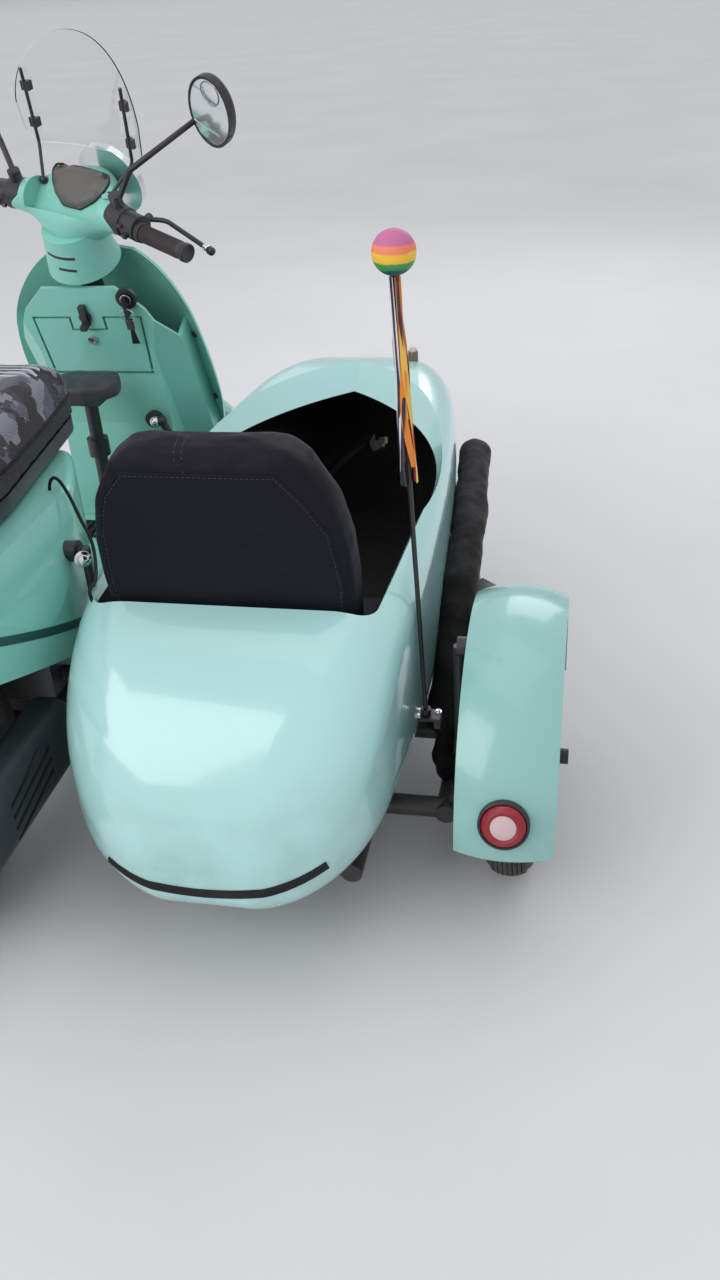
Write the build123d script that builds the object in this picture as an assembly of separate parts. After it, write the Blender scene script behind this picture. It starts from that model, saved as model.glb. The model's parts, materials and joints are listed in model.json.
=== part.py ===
from build123d import *
import math
import os

# Motor scooter with a sidecar on its right side, in millimetres.
# Modelling frame: origin at the rear wheel's ground contact, X to the right (the sidecar's side),
# Y forward, Z up. At the end all pieces move together, so that the origin is the bottom centre of the outfit.

# Wheels
WHEELBASE = 1334.0
REAR_TYRE_R = 236.0
REAR_TYRE_W = 120.0
FRONT_TYRE_R = 229.0
FRONT_TYRE_W = 110.0
SCOOTER_RIM_R = 152.0
SIDE_TYRE_R = 215.0
SIDE_TYRE_W = 92.0
SIDE_RIM_R = 127.0
TYRE_WALL = 12.0
AXLE_R = 10.0
BEAD_GAP = 0.3
RIM_LIP = 7.0
SEAT_GAP = 0.3
RUN_GAP = 0.3

# Steering: a raked axis, parked with the bars turned to the right
RAKE = 26.0
TRAIL = 80.0
STEER_REST = 20.0
NECK_H = 1000.0
COLUMN_R = 16.0
HEAD_R = 24.0
DOWN_TUBE_R = 14.0
FORK_LEG_X = 100.0
BAR_END_X = 325.0
BAR_COVER_X = 150.0
BAR_RISE = 127.0
BAR_H = NECK_H + BAR_RISE
LAMP_DROP = 31.0
SWITCH_R = 26.0
GRIP_R = 16.0
GRIP_LENGTH = 118.0

# Leg shield and inner panel
SHEET = 8.0
SHIELD_HALF_W = 228.0
SHIELD_NOSE = 75.0
SHIELD_EDGE = -30.0
ARCH_R = 292.0
PANEL_LOW_SETBACK = 354.0
PANEL_LOW_Y = WHEELBASE - PANEL_LOW_SETBACK
PANEL_LOW_Z = 650.0
PANEL_TOP_SETBACK = 429.0
PANEL_TOP_Y = WHEELBASE - PANEL_TOP_SETBACK
PANEL_TOP_Z = 905.0
PANEL_MORE = 25.0
PANEL_HALF_W = 135.0
DOOR_HALF_W = 122.0
DOOR_H = 146.0
DOOR_T = 9.0
DOOR_GAP = 5.3
DOOR_PIN_R = 2.5
DOOR_FOOT = 8.0
NOTCH_HALF_W = 42.0
NOTCH_H = 30.0
GLOVEBOX_DEPTH = 42.0

# Floor and rear body
FLOOR_Z = 290.0
FLOOR_T = 34.0
FLOOR_HALF_W = 180.0
FLOOR_FRONT_SETBACK = 334.0
FLOOR_FRONT_Y = WHEELBASE - FLOOR_FRONT_SETBACK
DOWN_TUBE_AHEAD = 28.0
DOWN_TUBE_Y = FLOOR_FRONT_Y + DOWN_TUBE_AHEAD
SADDLE_SETBACK = 120.0
SADDLE_Y = FLOOR_FRONT_Y - SADDLE_SETBACK
REAR_LINK_Y = 345.0
FRONT_LINK_SETBACK = 95.0
FRONT_LINK_Y = FLOOR_FRONT_Y - FRONT_LINK_SETBACK
STRUT_FOOT_Y = 1000.0
BODY_FRONT_Y = 530.0
BODY_TOP_Z = 655.0
BODY_TAIL_Y = -290.0
BODY_HALF_W = 212.0
BODY_WALL = 6.0
CENTRE_HALF_W = 118.0
BUCKET_HALF_W = 88.0
BUCKET_FRONT_Y = 430.0
BUCKET_REAR_Y = 130.0
BUCKET_FLOOR_Z = 450.0

# Seat
SEAT_HINGE_Y = 550.0
SEAT_HINGE_Z = 668.0
HINGE_PIN_R = 4.0
SEAT_CLEAR = 5.3
SEAT_TOP_Z = 812.0
SEAT_NOSE_Y = 655.0
SEAT_TAIL_Y = -110.0
SEAT_HALF_W = 142.0
SEAT_BASE_T = 34.0

# Engine
DRIVE_TOP_Z = 330.0
ENGINE_SIDE_X = 118.0

# Stand
STAND_PIVOT_Y = 330.0
STAND_PIVOT_Z = 165.0
STAND_LENGTH = 178.0

# Sidecar
SIDECAR_X = 537.0
TUB_WALL = 8.0
COCKPIT_REAR_Y = 125.0
COCKPIT_FRONT_Y = 1160.0
COCKPIT_REAR_HALF_W = 232.0
COCKPIT_HALF_W = 248.0
COCKPIT_WIDE_Y = 480.0
COCKPIT_EDGE_Z = 553.0
COAMING_TOP_Z = 601.0
COAMING_W = 26.0
COAMING_FRONT = 80.0
COAMING_HIGH = 640.0
COAMING_T = 7.0
BENCH_Z = 214.0
SIDE_WHEEL_X = 985.0
SIDE_WHEEL_Y = 256.0
SIDE_AXLE_END_X = 1076.0
MUDGUARD_R = 300.0
MUDGUARD_W = 156.0
MUDGUARD_T = 5.0
FRAME_TUBE_R = 19.0
FRAME_TUBE_Z = 128.0
RAIL_X = (345.0, 730.0)
OUTRIGGER_X = 868.0
POLE_R = 4.0
POLE_H = 776.0
BALL_R = 30.0

# Small fittings
PLATE_HOLE_R = 3.5
PLATE_HOLE_PITCH = 120.0
PIPE_OUT_R = 17.0
PIPE_BORE_R = 14.0
SIDE_BAR_R = 28.0
RIBBON_LENGTH = 315.0
NOSE_LAMP_X = 665.0
NOSE_LAMP_Y = 1250.0
LAMP_R = 40.0
LAMP_Z = 300.0
STAND_FOLD = 4.0
HEADLAMP_R = 74.0
SCREEN_R = 330.0
SCREEN_T = 3.0
MIRROR_X = 335.0
MIRROR_AHEAD = 144.0
MIRROR_RISE = 199.0
MIRROR_ALONG = BAR_H + MIRROR_RISE


def block(x0, x1, y0, y1, z0, z1):
    """A box between two corners."""
    size = Box(x1 - x0, y1 - y0, z1 - z0, align=(Align.MIN, Align.MIN, Align.MIN))
    return Pos(x0, y0, z0) * size


def rod(start, end, radius):
    """A round bar between two points."""
    along = Vector(*end) - Vector(*start)
    bar = Cylinder(radius, along.length, align=(Align.CENTER, Align.CENTER, Align.MIN))
    return Plane(origin=start, z_dir=along) * bar


def tube(points, radius, bends):
    """A bent round bar: straight runs joined by tangent arcs."""
    path = FilletPolyline(*points, radius=bends)
    return sweep(Plane(origin=path @ 0, z_dir=path % 0) * Circle(radius), path=path)


def side_slab(outline, half_width):
    """A side view outline (Y, Z) given its width in X on both sides of the centre plane."""
    wire = Polyline(*[(0, y, z) for y, z in outline], close=True)
    return extrude(make_face(wire), amount=half_width, dir=(1, 0, 0), both=True)


def rounded(points, radii):
    """A flat outline whose corners are rounded, each by its own radius."""
    face = make_face(Polyline(*points, close=True))
    for (x, y), r in zip(points, radii):
        corner = face.vertices().sort_by_distance((x, y, 0))[0]
        face = fillet(corner, r)
    return face


# Steering frame: local X to the right, local Y square to the axis and forward, local Z up along the axis
STEER_DIR = (0.0, -math.sin(math.radians(RAKE)), math.cos(math.radians(RAKE)))
STEER_FOOT = (0.0, WHEELBASE + TRAIL, 0.0)
STEER_PLANE = Plane(origin=STEER_FOOT, x_dir=(1, 0, 0), z_dir=STEER_DIR)
STEER_AXIS = Axis(STEER_FOOT, STEER_DIR)


def to_steer(y, z):
    """World Y and Z as distances ahead of and along the steering axis."""
    s, c = math.sin(math.radians(RAKE)), math.cos(math.radians(RAKE))
    dy = y - STEER_FOOT[1]
    return dy * c + z * s, -dy * s + z * c


def to_world(ahead, along):
    """World Y and Z of a point given ahead of and along the steering axis."""
    s, c = math.sin(math.radians(RAKE)), math.cos(math.radians(RAKE))
    return STEER_FOOT[1] + ahead * c - along * s, ahead * s + along * c


def steered(shape):
    """Steering pieces are drawn straight ahead in the steering frame, then turned to where they park."""
    return STEER_PLANE * (Rot(0, 0, -STEER_REST) * shape)


def framed(shape):
    """Pieces drawn in the steering frame that belong to the body and don't turn."""
    return STEER_PLANE * shape


# The turned wheel leans, which lifts its contact: the wheel centre is lowered by that amount
AHEAD, ALONG = to_steer(WHEELBASE, FRONT_TYRE_R)
REST = math.radians(STEER_REST)
LEAN = math.sin(REST) * math.sin(math.radians(RAKE))
CROWN_R = FRONT_TYRE_W / 2
FRONT_DROP = (FRONT_TYRE_R - CROWN_R) * (1 - math.sqrt(1 - LEAN ** 2))
FRONT_DROP -= AHEAD * math.sin(math.radians(RAKE)) * (1 - math.cos(REST))
FRONT_ALONG = ALONG - FRONT_DROP / math.cos(math.radians(RAKE))
HEAD_LOW = FRONT_ALONG + 334


# Wheels are drawn about the X axis at the origin
def wheel_tyre(radius, width, rim_r):
    """A hollow tyre: bead, bulged sidewall, shoulder and round crown."""
    half = width / 2
    bead = half * 0.66
    middle = rim_r + (radius - rim_r) * 0.48
    shoulder = radius - width * 0.17
    t = TYRE_WALL
    seat = rim_r + RIM_LIP + 1
    outer = [(bead, rim_r), (bead, seat), (half, middle), (half * 0.84, shoulder)]
    inner = [(bead - t, rim_r), (bead - t, seat), (half - t, middle), (half * 0.84 - t, shoulder - t)]

    def face(side, top):
        right = [Vector(x, 0, r) for x, r in side]
        left = [Vector(-x, 0, r) for x, r in side]
        edges = [Polyline(*right), ThreePointArc(right[-1], Vector(0, 0, top), left[-1])]
        edges += [Polyline(*left), Line(left[0], right[0])]
        return make_face(edges)

    section = face(outer, radius) - face(inner, radius - t)
    return revolve(section, axis=Axis.X)


def wheel_rim(rim_r, tyre_w, spokes, hub_half):
    """A cast wheel: barrel with two flanges, hub and spokes."""
    bead = tyre_w / 2 * 0.66
    barrel_r = rim_r - BEAD_GAP
    flange_t = 4.0
    barrel_t = 6.0
    barrel = Cylinder(barrel_r, 2 * (bead + flange_t)) - Cylinder(barrel_r - barrel_t, 3 * bead)
    for side in (-1, 1):
        ring = Cylinder(rim_r + RIM_LIP, flange_t) - Cylinder(barrel_r - barrel_t, 2 * flange_t)
        barrel += Pos(0, 0, side * (bead + BEAD_GAP + flange_t / 2)) * ring
    hub = Cylinder(36, 2 * hub_half)
    whole = barrel + hub
    spoke_w, spoke_t = 24.0, 16.0
    for i in range(spokes):
        arm = Pos(30, 0, 0) * Box(barrel_r - 32, spoke_w, spoke_t, align=(Align.MIN, Align.CENTER, Align.CENTER))
        whole += Rot(0, 0, 360 / spokes * i) * arm
    whole -= Cylinder(AXLE_R + RUN_GAP, 4 * hub_half)
    return Rot(0, 90, 0) * whole


def leg_shield():
    """The steel sheet: convex to the front, narrow at the neck, with an arch for the turning wheel."""
    edge_l = (-SHIELD_HALF_W - 30, SHIELD_EDGE - 32)
    edge_r = (SHIELD_HALF_W + 30, SHIELD_EDGE - 32)
    outer = ThreePointArc(edge_l, (0, SHIELD_NOSE), edge_r)
    inner = ThreePointArc((edge_l[0], edge_l[1] - SHEET), (0, SHIELD_NOSE - SHEET), (edge_r[0], edge_r[1] - SHEET))
    band = make_face([outer, Line(outer @ 1, inner @ 1), inner, Line(inner @ 0, outer @ 0)])
    wall = extrude(band, amount=NECK_H + 60)
    return framed(wall & shield_outline()) - wheel_arch()


def shield_outline(inset=0.0):
    """Front view of the leg shield along the steering axis, as a thick slab."""
    w = SHIELD_HALF_W - inset
    low, waist, top = 470.0 + inset, 740.0, NECK_H - 8 - inset
    low_w, top_w = 186.0 - inset, 96.0 - inset
    right = [
        Line((low_w, 0, low), (w - 10, 0, 600)),
        ThreePointArc((w - 10, 0, 600), (w, 0, waist - 40), (w - 12, 0, waist + 100)),
        ThreePointArc((w - 12, 0, waist + 100), (w - 62, 0, top - 50), (top_w, 0, top)),
    ]
    left = [edge.mirror(Plane.YZ) for edge in right]
    wires = right + left + [Line((-low_w, 0, low), (low_w, 0, low)), Line((-top_w, 0, top), (top_w, 0, top))]
    return extrude(make_face(wires), amount=300, dir=(0, 1, 0), both=True)


def wheel_arch():
    """The room in which the front wheel and its mudguard turn."""
    return framed(Pos(0, 0, FRONT_ALONG) * Sphere(ARCH_R))


PANEL_SLOPE = math.degrees(math.atan2(PANEL_LOW_Y - PANEL_TOP_Y, PANEL_TOP_Z - PANEL_LOW_Z))
# Plane of the glovebox door: X right, Y up the panel, Z out of the panel towards the rider
PANEL_PLANE = Plane(
    origin=(0, PANEL_LOW_Y, PANEL_LOW_Z),
    x_dir=(1, 0, 0),
    z_dir=(0, -math.cos(math.radians(PANEL_SLOPE)), -math.sin(math.radians(PANEL_SLOPE))),
)


def panel_side(shift):
    """Side view of the inner panel, moved forward by a wall."""
    lower_y = FLOOR_FRONT_Y
    front_y = WHEELBASE - 44
    toe_z = FLOOR_Z + SEAT_GAP
    return [
        (PANEL_TOP_Y - PANEL_MORE * math.tan(math.radians(PANEL_SLOPE)) + shift, PANEL_TOP_Z + PANEL_MORE),
        (PANEL_LOW_Y + shift, PANEL_LOW_Z),
        (lower_y + shift, 530),
        (lower_y + shift, toe_z),
        (lower_y + 120, toe_z),
        (front_y, 430),
        (front_y, PANEL_TOP_Z + PANEL_MORE),
    ]


def panel_plan(inset):
    """Plan of the inner panel in the steering frame: a flat middle and sloping cheeks."""
    half, cheek = PANEL_HALF_W - inset, 190.0 - inset
    rear, side = -330.0, -52.0
    wire = Polyline(
        (-half, rear), (half, rear), (half, -95), (cheek, side), (cheek, 120), (-cheek, 120), (-cheek, side),
        (-half, -95), close=True)
    return extrude(make_face(wire), amount=NECK_H + 60)


def behind_sheet(gap):
    """Everything behind a surface that lies a gap behind the leg shield's front."""
    edge = SHIELD_HALF_W + 30
    front = ThreePointArc((-edge, SHIELD_EDGE - 32 - gap), (0, SHIELD_NOSE - gap), (edge, SHIELD_EDGE - 32 - gap))
    wires = [front, Polyline(front @ 1, (edge, -400), (-edge, -400), front @ 0)]
    return framed(extrude(make_face(wires), amount=NECK_H + 60))


def inner_shield():
    """The plastic panel behind the leg shield, with the glovebox and its mouth."""
    wall = 7.0
    limit = framed(extrude_low_outline())
    outer = side_slab(panel_side(0), 260) & framed(panel_plan(0)) & limit & behind_sheet(SHEET + SEAT_GAP)
    core = side_slab(panel_side(wall), 260) & framed(panel_plan(wall))
    shell = outer - core - wheel_arch()
    depth = DOOR_T + GLOVEBOX_DEPTH
    box_wall = 4.0
    low, high = DOOR_FOOT + 6, DOOR_H - NOTCH_H - 9
    box_w = DOOR_HALF_W - 18
    seat = DOOR_T + DOOR_GAP
    liner = block(-box_w - box_wall, box_w + box_wall, low, high + box_wall, -depth - box_wall, -seat)
    tray = door_outline(DOOR_GAP + box_wall, -seat - box_wall, -wall / 2)
    shell += PANEL_PLANE * (liner + tray)
    mouth = PANEL_PLANE * block(-box_w, box_w, low + box_wall, high, -depth, 20)
    rebate = PANEL_PLANE * door_outline(DOOR_GAP, -seat, 30)
    column_way = rod((0, 0, HEAD_LOW), (0, 0, NECK_H + 20), HEAD_R + SEAT_GAP) + rod((0, 0, HEAD_LOW - 90), (0, 0, HEAD_LOW), 38)
    shell = shell - mouth - rebate - framed(column_way)
    for side in (-1, 1):
        shell += PANEL_PLANE * rod(door_pin(side * (DOOR_HALF_W + 2)), door_pin(side * (DOOR_HALF_W - 22)), DOOR_PIN_R)
    return shell.solids().sort_by(SortBy.VOLUME)[-1]


def door_pin(x):
    """A point on the glovebox door's hinge line, in the panel's plane."""
    return (x, DOOR_FOOT + DOOR_T / 2, -DOOR_T / 2)


def extrude_low_outline():
    """Front view limit of the inner panel, with its straight lower part down to the floor."""
    top = NECK_H - 9
    wire = Polyline(
        (-176, 0, 300), (176, 0, 300), (188, 0, 520), (200, 0, 700), (188, 0, 840), (138, 0, 940), (84, 0, top),
        (-84, 0, top), (-138, 0, 940), (-188, 0, 840), (-200, 0, 700), (-188, 0, 520), close=True)
    return extrude(make_face(wire), amount=500, dir=(0, 1, 0), both=True)


def door_outline(grow, z0, z1):
    """The glovebox door's outline in the panel's plane, with a notch under the bag hook."""
    w, h = DOOR_HALF_W + grow, DOOR_H + grow
    notch_w, notch = NOTCH_HALF_W - grow, h - NOTCH_H
    foot = DOOR_FOOT - grow
    wire = Polyline((-w + 8, foot), (w - 8, foot), (w, h), (notch_w, h), (notch_w, notch), (-notch_w, notch),
                    (-notch_w, h), (-w, h), close=True)
    return Pos(0, 0, z0) * extrude(make_face(wire), amount=z1 - z0)


def glovebox_door():
    """The door with its lock; its foot is round about the two hinge pins."""
    half_t = DOOR_T / 2
    door = door_outline(0, -DOOR_T, 0) - block(-200, 200, 0, DOOR_FOOT + half_t, -20, 20)
    door += rod(door_pin(8 - DOOR_HALF_W), door_pin(DOOR_HALF_W - 8), half_t)
    door += Pos(0, DOOR_H - 52, 0) * Cylinder(9, 4, align=(Align.CENTER, Align.CENTER, Align.MIN))
    for side in (-1, 1):
        door -= rod(door_pin(side * 200), door_pin(side * (DOOR_HALF_W - 24)), DOOR_PIN_R + RUN_GAP)
    return PANEL_PLANE * door


def column_cover():
    """The cover over the steering column on the front of the leg shield, with its horn slots."""
    cover = Pos(0, SHIELD_NOSE + SEAT_GAP, 560) * Box(84, 16, 400, align=(Align.CENTER, Align.MIN, Align.MIN))
    cover = fillet(cover.edges().filter_by(Axis.Z).group_by(Axis.Y)[-1], 7)
    for i in range(3):
        cover -= Pos(0, SHIELD_NOSE + 16, 600 + 16 * i) * Box(52, 12, 7)
    return framed(cover) - wheel_arch()


def turn_lamps():
    """Front turn lamps on the shield's wings and rear ones beside the tail."""
    lamps = []
    for side in (-1, 1):
        lens = Cylinder(21, 26, align=(Align.CENTER, Align.CENTER, Align.MIN))
        lens = fillet(lens.edges().group_by(Axis.Z)[-1], 6)
        lamps.append(framed(Pos(side * 150, 34, 660) * Rot(-90, side * -16, 0) * lens) - behind_sheet(-SEAT_GAP))
        lamps.append(Pos(side * 92, BODY_TAIL_Y + 46, 585) * Rot(90, side * 28, 0) * lens - body_form(-SEAT_GAP, 0))
    return Compound(children=lamps)


def panel_fittings():
    """The bag hook and the ignition ring with its key, on the inner panel."""
    seat = SEAT_GAP
    hook = Pos(0, DOOR_H + 6, seat) * Cylinder(13, 8, align=(Align.CENTER, Align.CENTER, Align.MIN))
    hook += Pos(0, DOOR_H + 12, seat) * Box(14, 46, 14, align=(Align.CENTER, Align.CENTER, Align.MIN))
    hook += Pos(0, DOOR_H - 8, seat) * Box(14, 10, 30, align=(Align.CENTER, Align.CENTER, Align.MIN))
    ring = Pos(108, DOOR_H + 52, seat) * (
        Cylinder(23, 9, align=(Align.CENTER, Align.CENTER, Align.MIN))
        - Pos(0, 0, 5) * Cylinder(15, 9, align=(Align.CENTER, Align.CENTER, Align.MIN)))
    ring += Pos(108, DOOR_H + 52, seat + 5) * Cylinder(9, 8, align=(Align.CENTER, Align.CENTER, Align.MIN))
    key = Pos(108, DOOR_H + 40, seat + 9) * Box(5, 46, 22, align=(Align.CENTER, Align.CENTER, Align.MIN))
    return Compound(children=[PANEL_PLANE * hook, PANEL_PLANE * (ring + key)])


def floorboard():
    """The footboard with a raised tunnel; it ends at the inner panel and the rear body."""
    rear = BODY_FRONT_Y - 70
    slab = block(-FLOOR_HALF_W, FLOOR_HALF_W, rear, FLOOR_FRONT_Y + 60, FLOOR_Z - FLOOR_T, FLOOR_Z)
    slab = fillet(slab.edges().filter_by(Axis.Z), 34)
    slab = fillet(slab.edges().group_by(Axis.Z)[0], 12)
    tunnel = block(-45, 45, BODY_FRONT_Y + 2, FLOOR_FRONT_Y - 1, FLOOR_Z - 1, FLOOR_Z + 14)
    slab += fillet(tunnel.edges().filter_by(Axis.Y).group_by(Axis.Z)[-1], 9)
    way = rod((0, DOWN_TUBE_Y, 200), (0, DOWN_TUBE_Y, FLOOR_Z + 20), DOWN_TUBE_R + SEAT_GAP)
    return slab - wheel_arch() - way


def floor_mats():
    """Two ribbed rubber mats beside the tunnel."""
    mats = []
    for side in (-1, 1):
        x0 = 58.0 if side > 0 else -160.0
        mat = block(x0, x0 + 102, 600, FLOOR_FRONT_Y - 40, FLOOR_Z + SEAT_GAP, FLOOR_Z + 3)
        for i in range(5):
            mat += block(x0 + 6 + 20 * i, x0 + 16 + 20 * i, 606, FLOOR_FRONT_Y - 46, FLOOR_Z + 2, FLOOR_Z + 6)
        mats.append(mat)
    return Compound(children=mats)


def underframe():
    """The pressed frame under the floor, which carries the stand and the sidecar's lower links."""
    top = FLOOR_Z - FLOOR_T - SEAT_GAP
    spine = block(-38, 38, 300, DOWN_TUBE_Y + 12, top - 56, top)
    for y in (REAR_LINK_Y, FRONT_LINK_Y):
        spine += block(-150, 150, y - 22, y + 22, top - 34, top)
    lugs = [(-58, -46), (46, 58)]
    for x0, x1 in lugs:
        spine += block(x0, x1, STAND_PIVOT_Y - 20, STAND_PIVOT_Y + 20, STAND_PIVOT_Z - 18, top)
    spine += rod((-62, STAND_PIVOT_Y, STAND_PIVOT_Z), (62, STAND_PIVOT_Y, STAND_PIVOT_Z), 8)
    for y in (REAR_LINK_Y, FRONT_LINK_Y):
        spine += block(136, 150, y - 18, y + 18, 170, top)
    return spine - wheel_arch()


def body_form(inset, drop):
    """The scooter's rear body as three views crossed: plan, side and rear."""
    half = BODY_HALF_W - inset
    front_w, tail_w = 112.0 - inset, 62.0 - inset
    front_y, tail_y = BODY_FRONT_Y - inset, BODY_TAIL_Y + inset
    right = ThreePointArc((front_w, front_y), (half, 90), (tail_w, tail_y))
    left = right.mirror(Plane.YZ)
    plan = make_face([right, left, Line(right @ 0, left @ 0), Line(right @ 1, left @ 1)])
    top = BODY_TOP_Z - inset
    low = [(front_y, FLOOR_Z + 8 - drop), (BODY_FRONT_Y - 72, FLOOR_Z + 0.3 - drop)]
    under = ThreePointArc((0, low[1][0], low[1][1]), (0, 120, 440 - drop), (0, tail_y, 566 - drop))
    roof = [(tail_y, 566 - drop), (tail_y, 622), (tail_y + 60, top - 6), (tail_y + 150, top), (front_y, top), low[0], low[1]]
    side = make_face([under, Polyline(*[(0, y, z) for y, z in roof])])
    shoulder = 178.0 - inset
    flank = ThreePointArc((shoulder, 0, top), (half - 2, 0, 540), (half - 16, 0, 250 - drop))
    other = flank.mirror(Plane.YZ)
    rear = make_face([flank, other, Line(flank @ 0, other @ 0), Line(flank @ 1, other @ 1)])
    form = Pos(0, 0, 150) * extrude(plan, amount=560)
    form &= extrude(side, amount=300, dir=(1, 0, 0), both=True)
    return form & extrude(rear, amount=900, dir=(0, 1, 0), both=True)


def body_shell():
    wall = BODY_WALL
    outer = body_form(0, 0)
    outer = fillet(outer.edges().filter_by(GeomType.LINE, reverse=True).group_by(Axis.Z)[-1], 18)
    return outer - body_form(wall, 90)


def rear_body(shell):
    """Middle of the rear body: deck under the seat, front wall and tail, with the storage well."""
    reach = CENTRE_HALF_W - SEAT_GAP
    middle = shell & block(-reach, reach, -400, 600, 200, 700)
    wall = 4.0
    w = BUCKET_HALF_W
    well = block(-w - wall, w + wall, BUCKET_REAR_Y - wall, BUCKET_FRONT_Y + wall,
                 BUCKET_FLOOR_Z - wall, BODY_TOP_Z - 2)
    well -= block(-w, w, BUCKET_REAR_Y, BUCKET_FRONT_Y, BUCKET_FLOOR_Z, BODY_TOP_Z + 40)
    middle -= block(-w, w, BUCKET_REAR_Y, BUCKET_FRONT_Y, BUCKET_FLOOR_Z, BODY_TOP_Z + 40)
    whole = middle + well
    y0, y1, z1 = BODY_FRONT_Y - 12, SEAT_HINGE_Y, SEAT_HINGE_Z
    outline = [(y0, z1 - 34), (y0 + 10, z1 - 34), (y1 + 6, z1 - 6), (y1 + 6, z1 + 6), (y1, z1 + 8), (y0, z1 + 8)]
    for x in (-36, 36):
        whole += Pos(x, 0, 0) * side_slab(outline, 4)
    pin = rod((-40, SEAT_HINGE_Y, SEAT_HINGE_Z), (40, SEAT_HINGE_Y, SEAT_HINGE_Z), HINGE_PIN_R)
    return whole + pin


def cowl(shell, side):
    """One side cowl, from the middle's joint outwards."""
    x0, x1 = (CENTRE_HALF_W, 260) if side > 0 else (-260, -CENTRE_HALF_W)
    return shell & block(x0, x1, -400, 600, 200, 700)


def seat_base():
    """The seat pan with its hinge knuckle."""
    z0 = BODY_TOP_Z + SEAT_CLEAR
    pan = extrude(seat_plan(8), amount=SEAT_BASE_T)
    pan = Pos(0, 0, z0) * fillet(pan.edges().group_by(Axis.Z)[0], 10)
    knuckle = rod((-30, SEAT_HINGE_Y, SEAT_HINGE_Z), (30, SEAT_HINGE_Y, SEAT_HINGE_Z), 7.5)
    pan -= block(-46, 46, BODY_FRONT_Y - 12 - SEAT_CLEAR, SEAT_HINGE_Y + 26, z0 - 5, SEAT_HINGE_Z + 8 + SEAT_CLEAR)
    for x in (-28, 16):
        pan += block(x, x + 12, SEAT_HINGE_Y - 7, SEAT_HINGE_Y + 7, SEAT_HINGE_Z - 1, SEAT_HINGE_Z + 16)
    pan += knuckle
    return pan - rod((-60, SEAT_HINGE_Y, SEAT_HINGE_Z), (60, SEAT_HINGE_Y, SEAT_HINGE_Z), HINGE_PIN_R + RUN_GAP)


def seat_plan(inset):
    """Plan of the seat: narrow round nose, wide rear."""
    nose, half, tail = 92.0 - inset, SEAT_HALF_W - inset, 112.0 - inset
    nose_y, tail_y = SEAT_NOSE_Y - inset, SEAT_TAIL_Y + inset
    outline = rounded([(nose, nose_y), (half, 240), (half, 60), (tail, tail_y),
                       (-tail, tail_y), (-half, 60), (-half, 240), (-nose, nose_y)],
                      [60, 120, 120, 50, 50, 120, 120, 60])
    return outline


def seat_cushion():
    """The cushion on the seat pan."""
    z0 = BODY_TOP_Z + SEAT_CLEAR + SEAT_BASE_T + SEAT_GAP
    pad = extrude(seat_plan(0), amount=SEAT_TOP_Z - z0)
    pad = fillet(pad.edges().group_by(Axis.Z)[-1], 34)
    return Pos(0, 0, z0) * pad


def tail_lamp():
    lens = Box(112, 26, 46)
    lens = fillet(lens.edges().filter_by(Axis.Y), 16)
    lens = fillet(lens.edges().group_by(Axis.Y)[0], 8)
    return Pos(0, BODY_TAIL_Y - 13 - SEAT_GAP, 594) * lens


def plate_holder():
    """The blank number plate on its carrier behind the rear wheel."""
    arm = block(-30, 30, BODY_TAIL_Y + BODY_WALL + SEAT_GAP, BODY_TAIL_Y + 12, 420, 596)
    plate = block(-92, 92, BODY_TAIL_Y - 2, BODY_TAIL_Y + 8, 395, 525)
    plate = fillet(plate.edges().filter_by(Axis.Y), 8)
    whole = arm + plate
    for x in (-PLATE_HOLE_PITCH / 2, PLATE_HOLE_PITCH / 2):
        whole -= rod((x, BODY_TAIL_Y - 30, 460), (x, BODY_TAIL_Y + 40, 460), PLATE_HOLE_R)
    return whole


def grab_rail():
    """The bent passenger rail behind the seat."""
    z = BODY_TOP_Z + SEAT_GAP
    right = [(158, 74, z), (158, 74, z + 20), (163, 50, z + 42), (160, -90, z + 58), (88, -176, z + 66)]
    left = [(-x, y, height) for x, y, height in right]
    return tube(left + right[::-1], 9, [14, 24, 40, 40, 40, 40, 24, 14])


def engine_block():
    """The engine and drive case as plain blocks, with the wheel's stub axle."""
    case = block(-168, -86, -46, 300, 186, DRIVE_TOP_Z)
    case = fillet(case.edges().filter_by(Axis.X), 54)
    base = FLOOR_Z - FLOOR_T
    engine = block(-84, ENGINE_SIDE_X, 262, 430, base, base + 96)
    engine = fillet(engine.edges().filter_by(Axis.X).group_by(Axis.Z)[-1], 24)
    whole = case + engine + block(-120, -60, 264, 400, base, base + 44)
    whole += rod((-100, 0, REAR_TYRE_R), (-64, 0, REAR_TYRE_R), 34)
    return whole + rod((-70, 0, REAR_TYRE_R), (74, 0, REAR_TYRE_R), AXLE_R)


def rear_shock():
    """The spring unit between the drive case and the body."""
    low, high = (-127, 32, DRIVE_TOP_Z + 13 + SEAT_GAP), (-127, 104, 480)
    whole = rod(low, high, 12) + rod((-146, low[1], low[2]), (-108, low[1], low[2]), 13)
    axis = Vector(*high) - Vector(*low)
    for i in range(9):
        start = Vector(*low) + axis * (0.12 + 0.085 * i)
        end = start + axis * 0.045
        whole += rod(tuple(start), tuple(end), 27)
    whole += rod((-146, high[1], high[2]), (-108, high[1], high[2]), 15)
    return whole


def muffler():
    """The silencer on the right with its heat shield slots and tail pipe."""
    can = block(128, 214, -214, 150, 220, 356)
    can = fillet(can.edges().filter_by(Axis.Y), 36)
    can = fillet(can.edges().filter_by(Axis.Y, reverse=True), 14)
    for i in range(4):
        slot = Box(12, 150, 9)
        can -= Pos(214, -30, 262 + 22 * i) * Rot(12, 0, 0) * slot
    can += tube([(160, 120, 300), (160, 310, 292), (ENGINE_SIDE_X + SEAT_GAP, 310, 292)], 15, [24])
    outlet = rod((176, -200, 250), (176, -262, 244), PIPE_OUT_R) - rod((176, -215, 251.5), (176, -275, 242.7), PIPE_BORE_R)
    can += outlet
    return can


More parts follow.
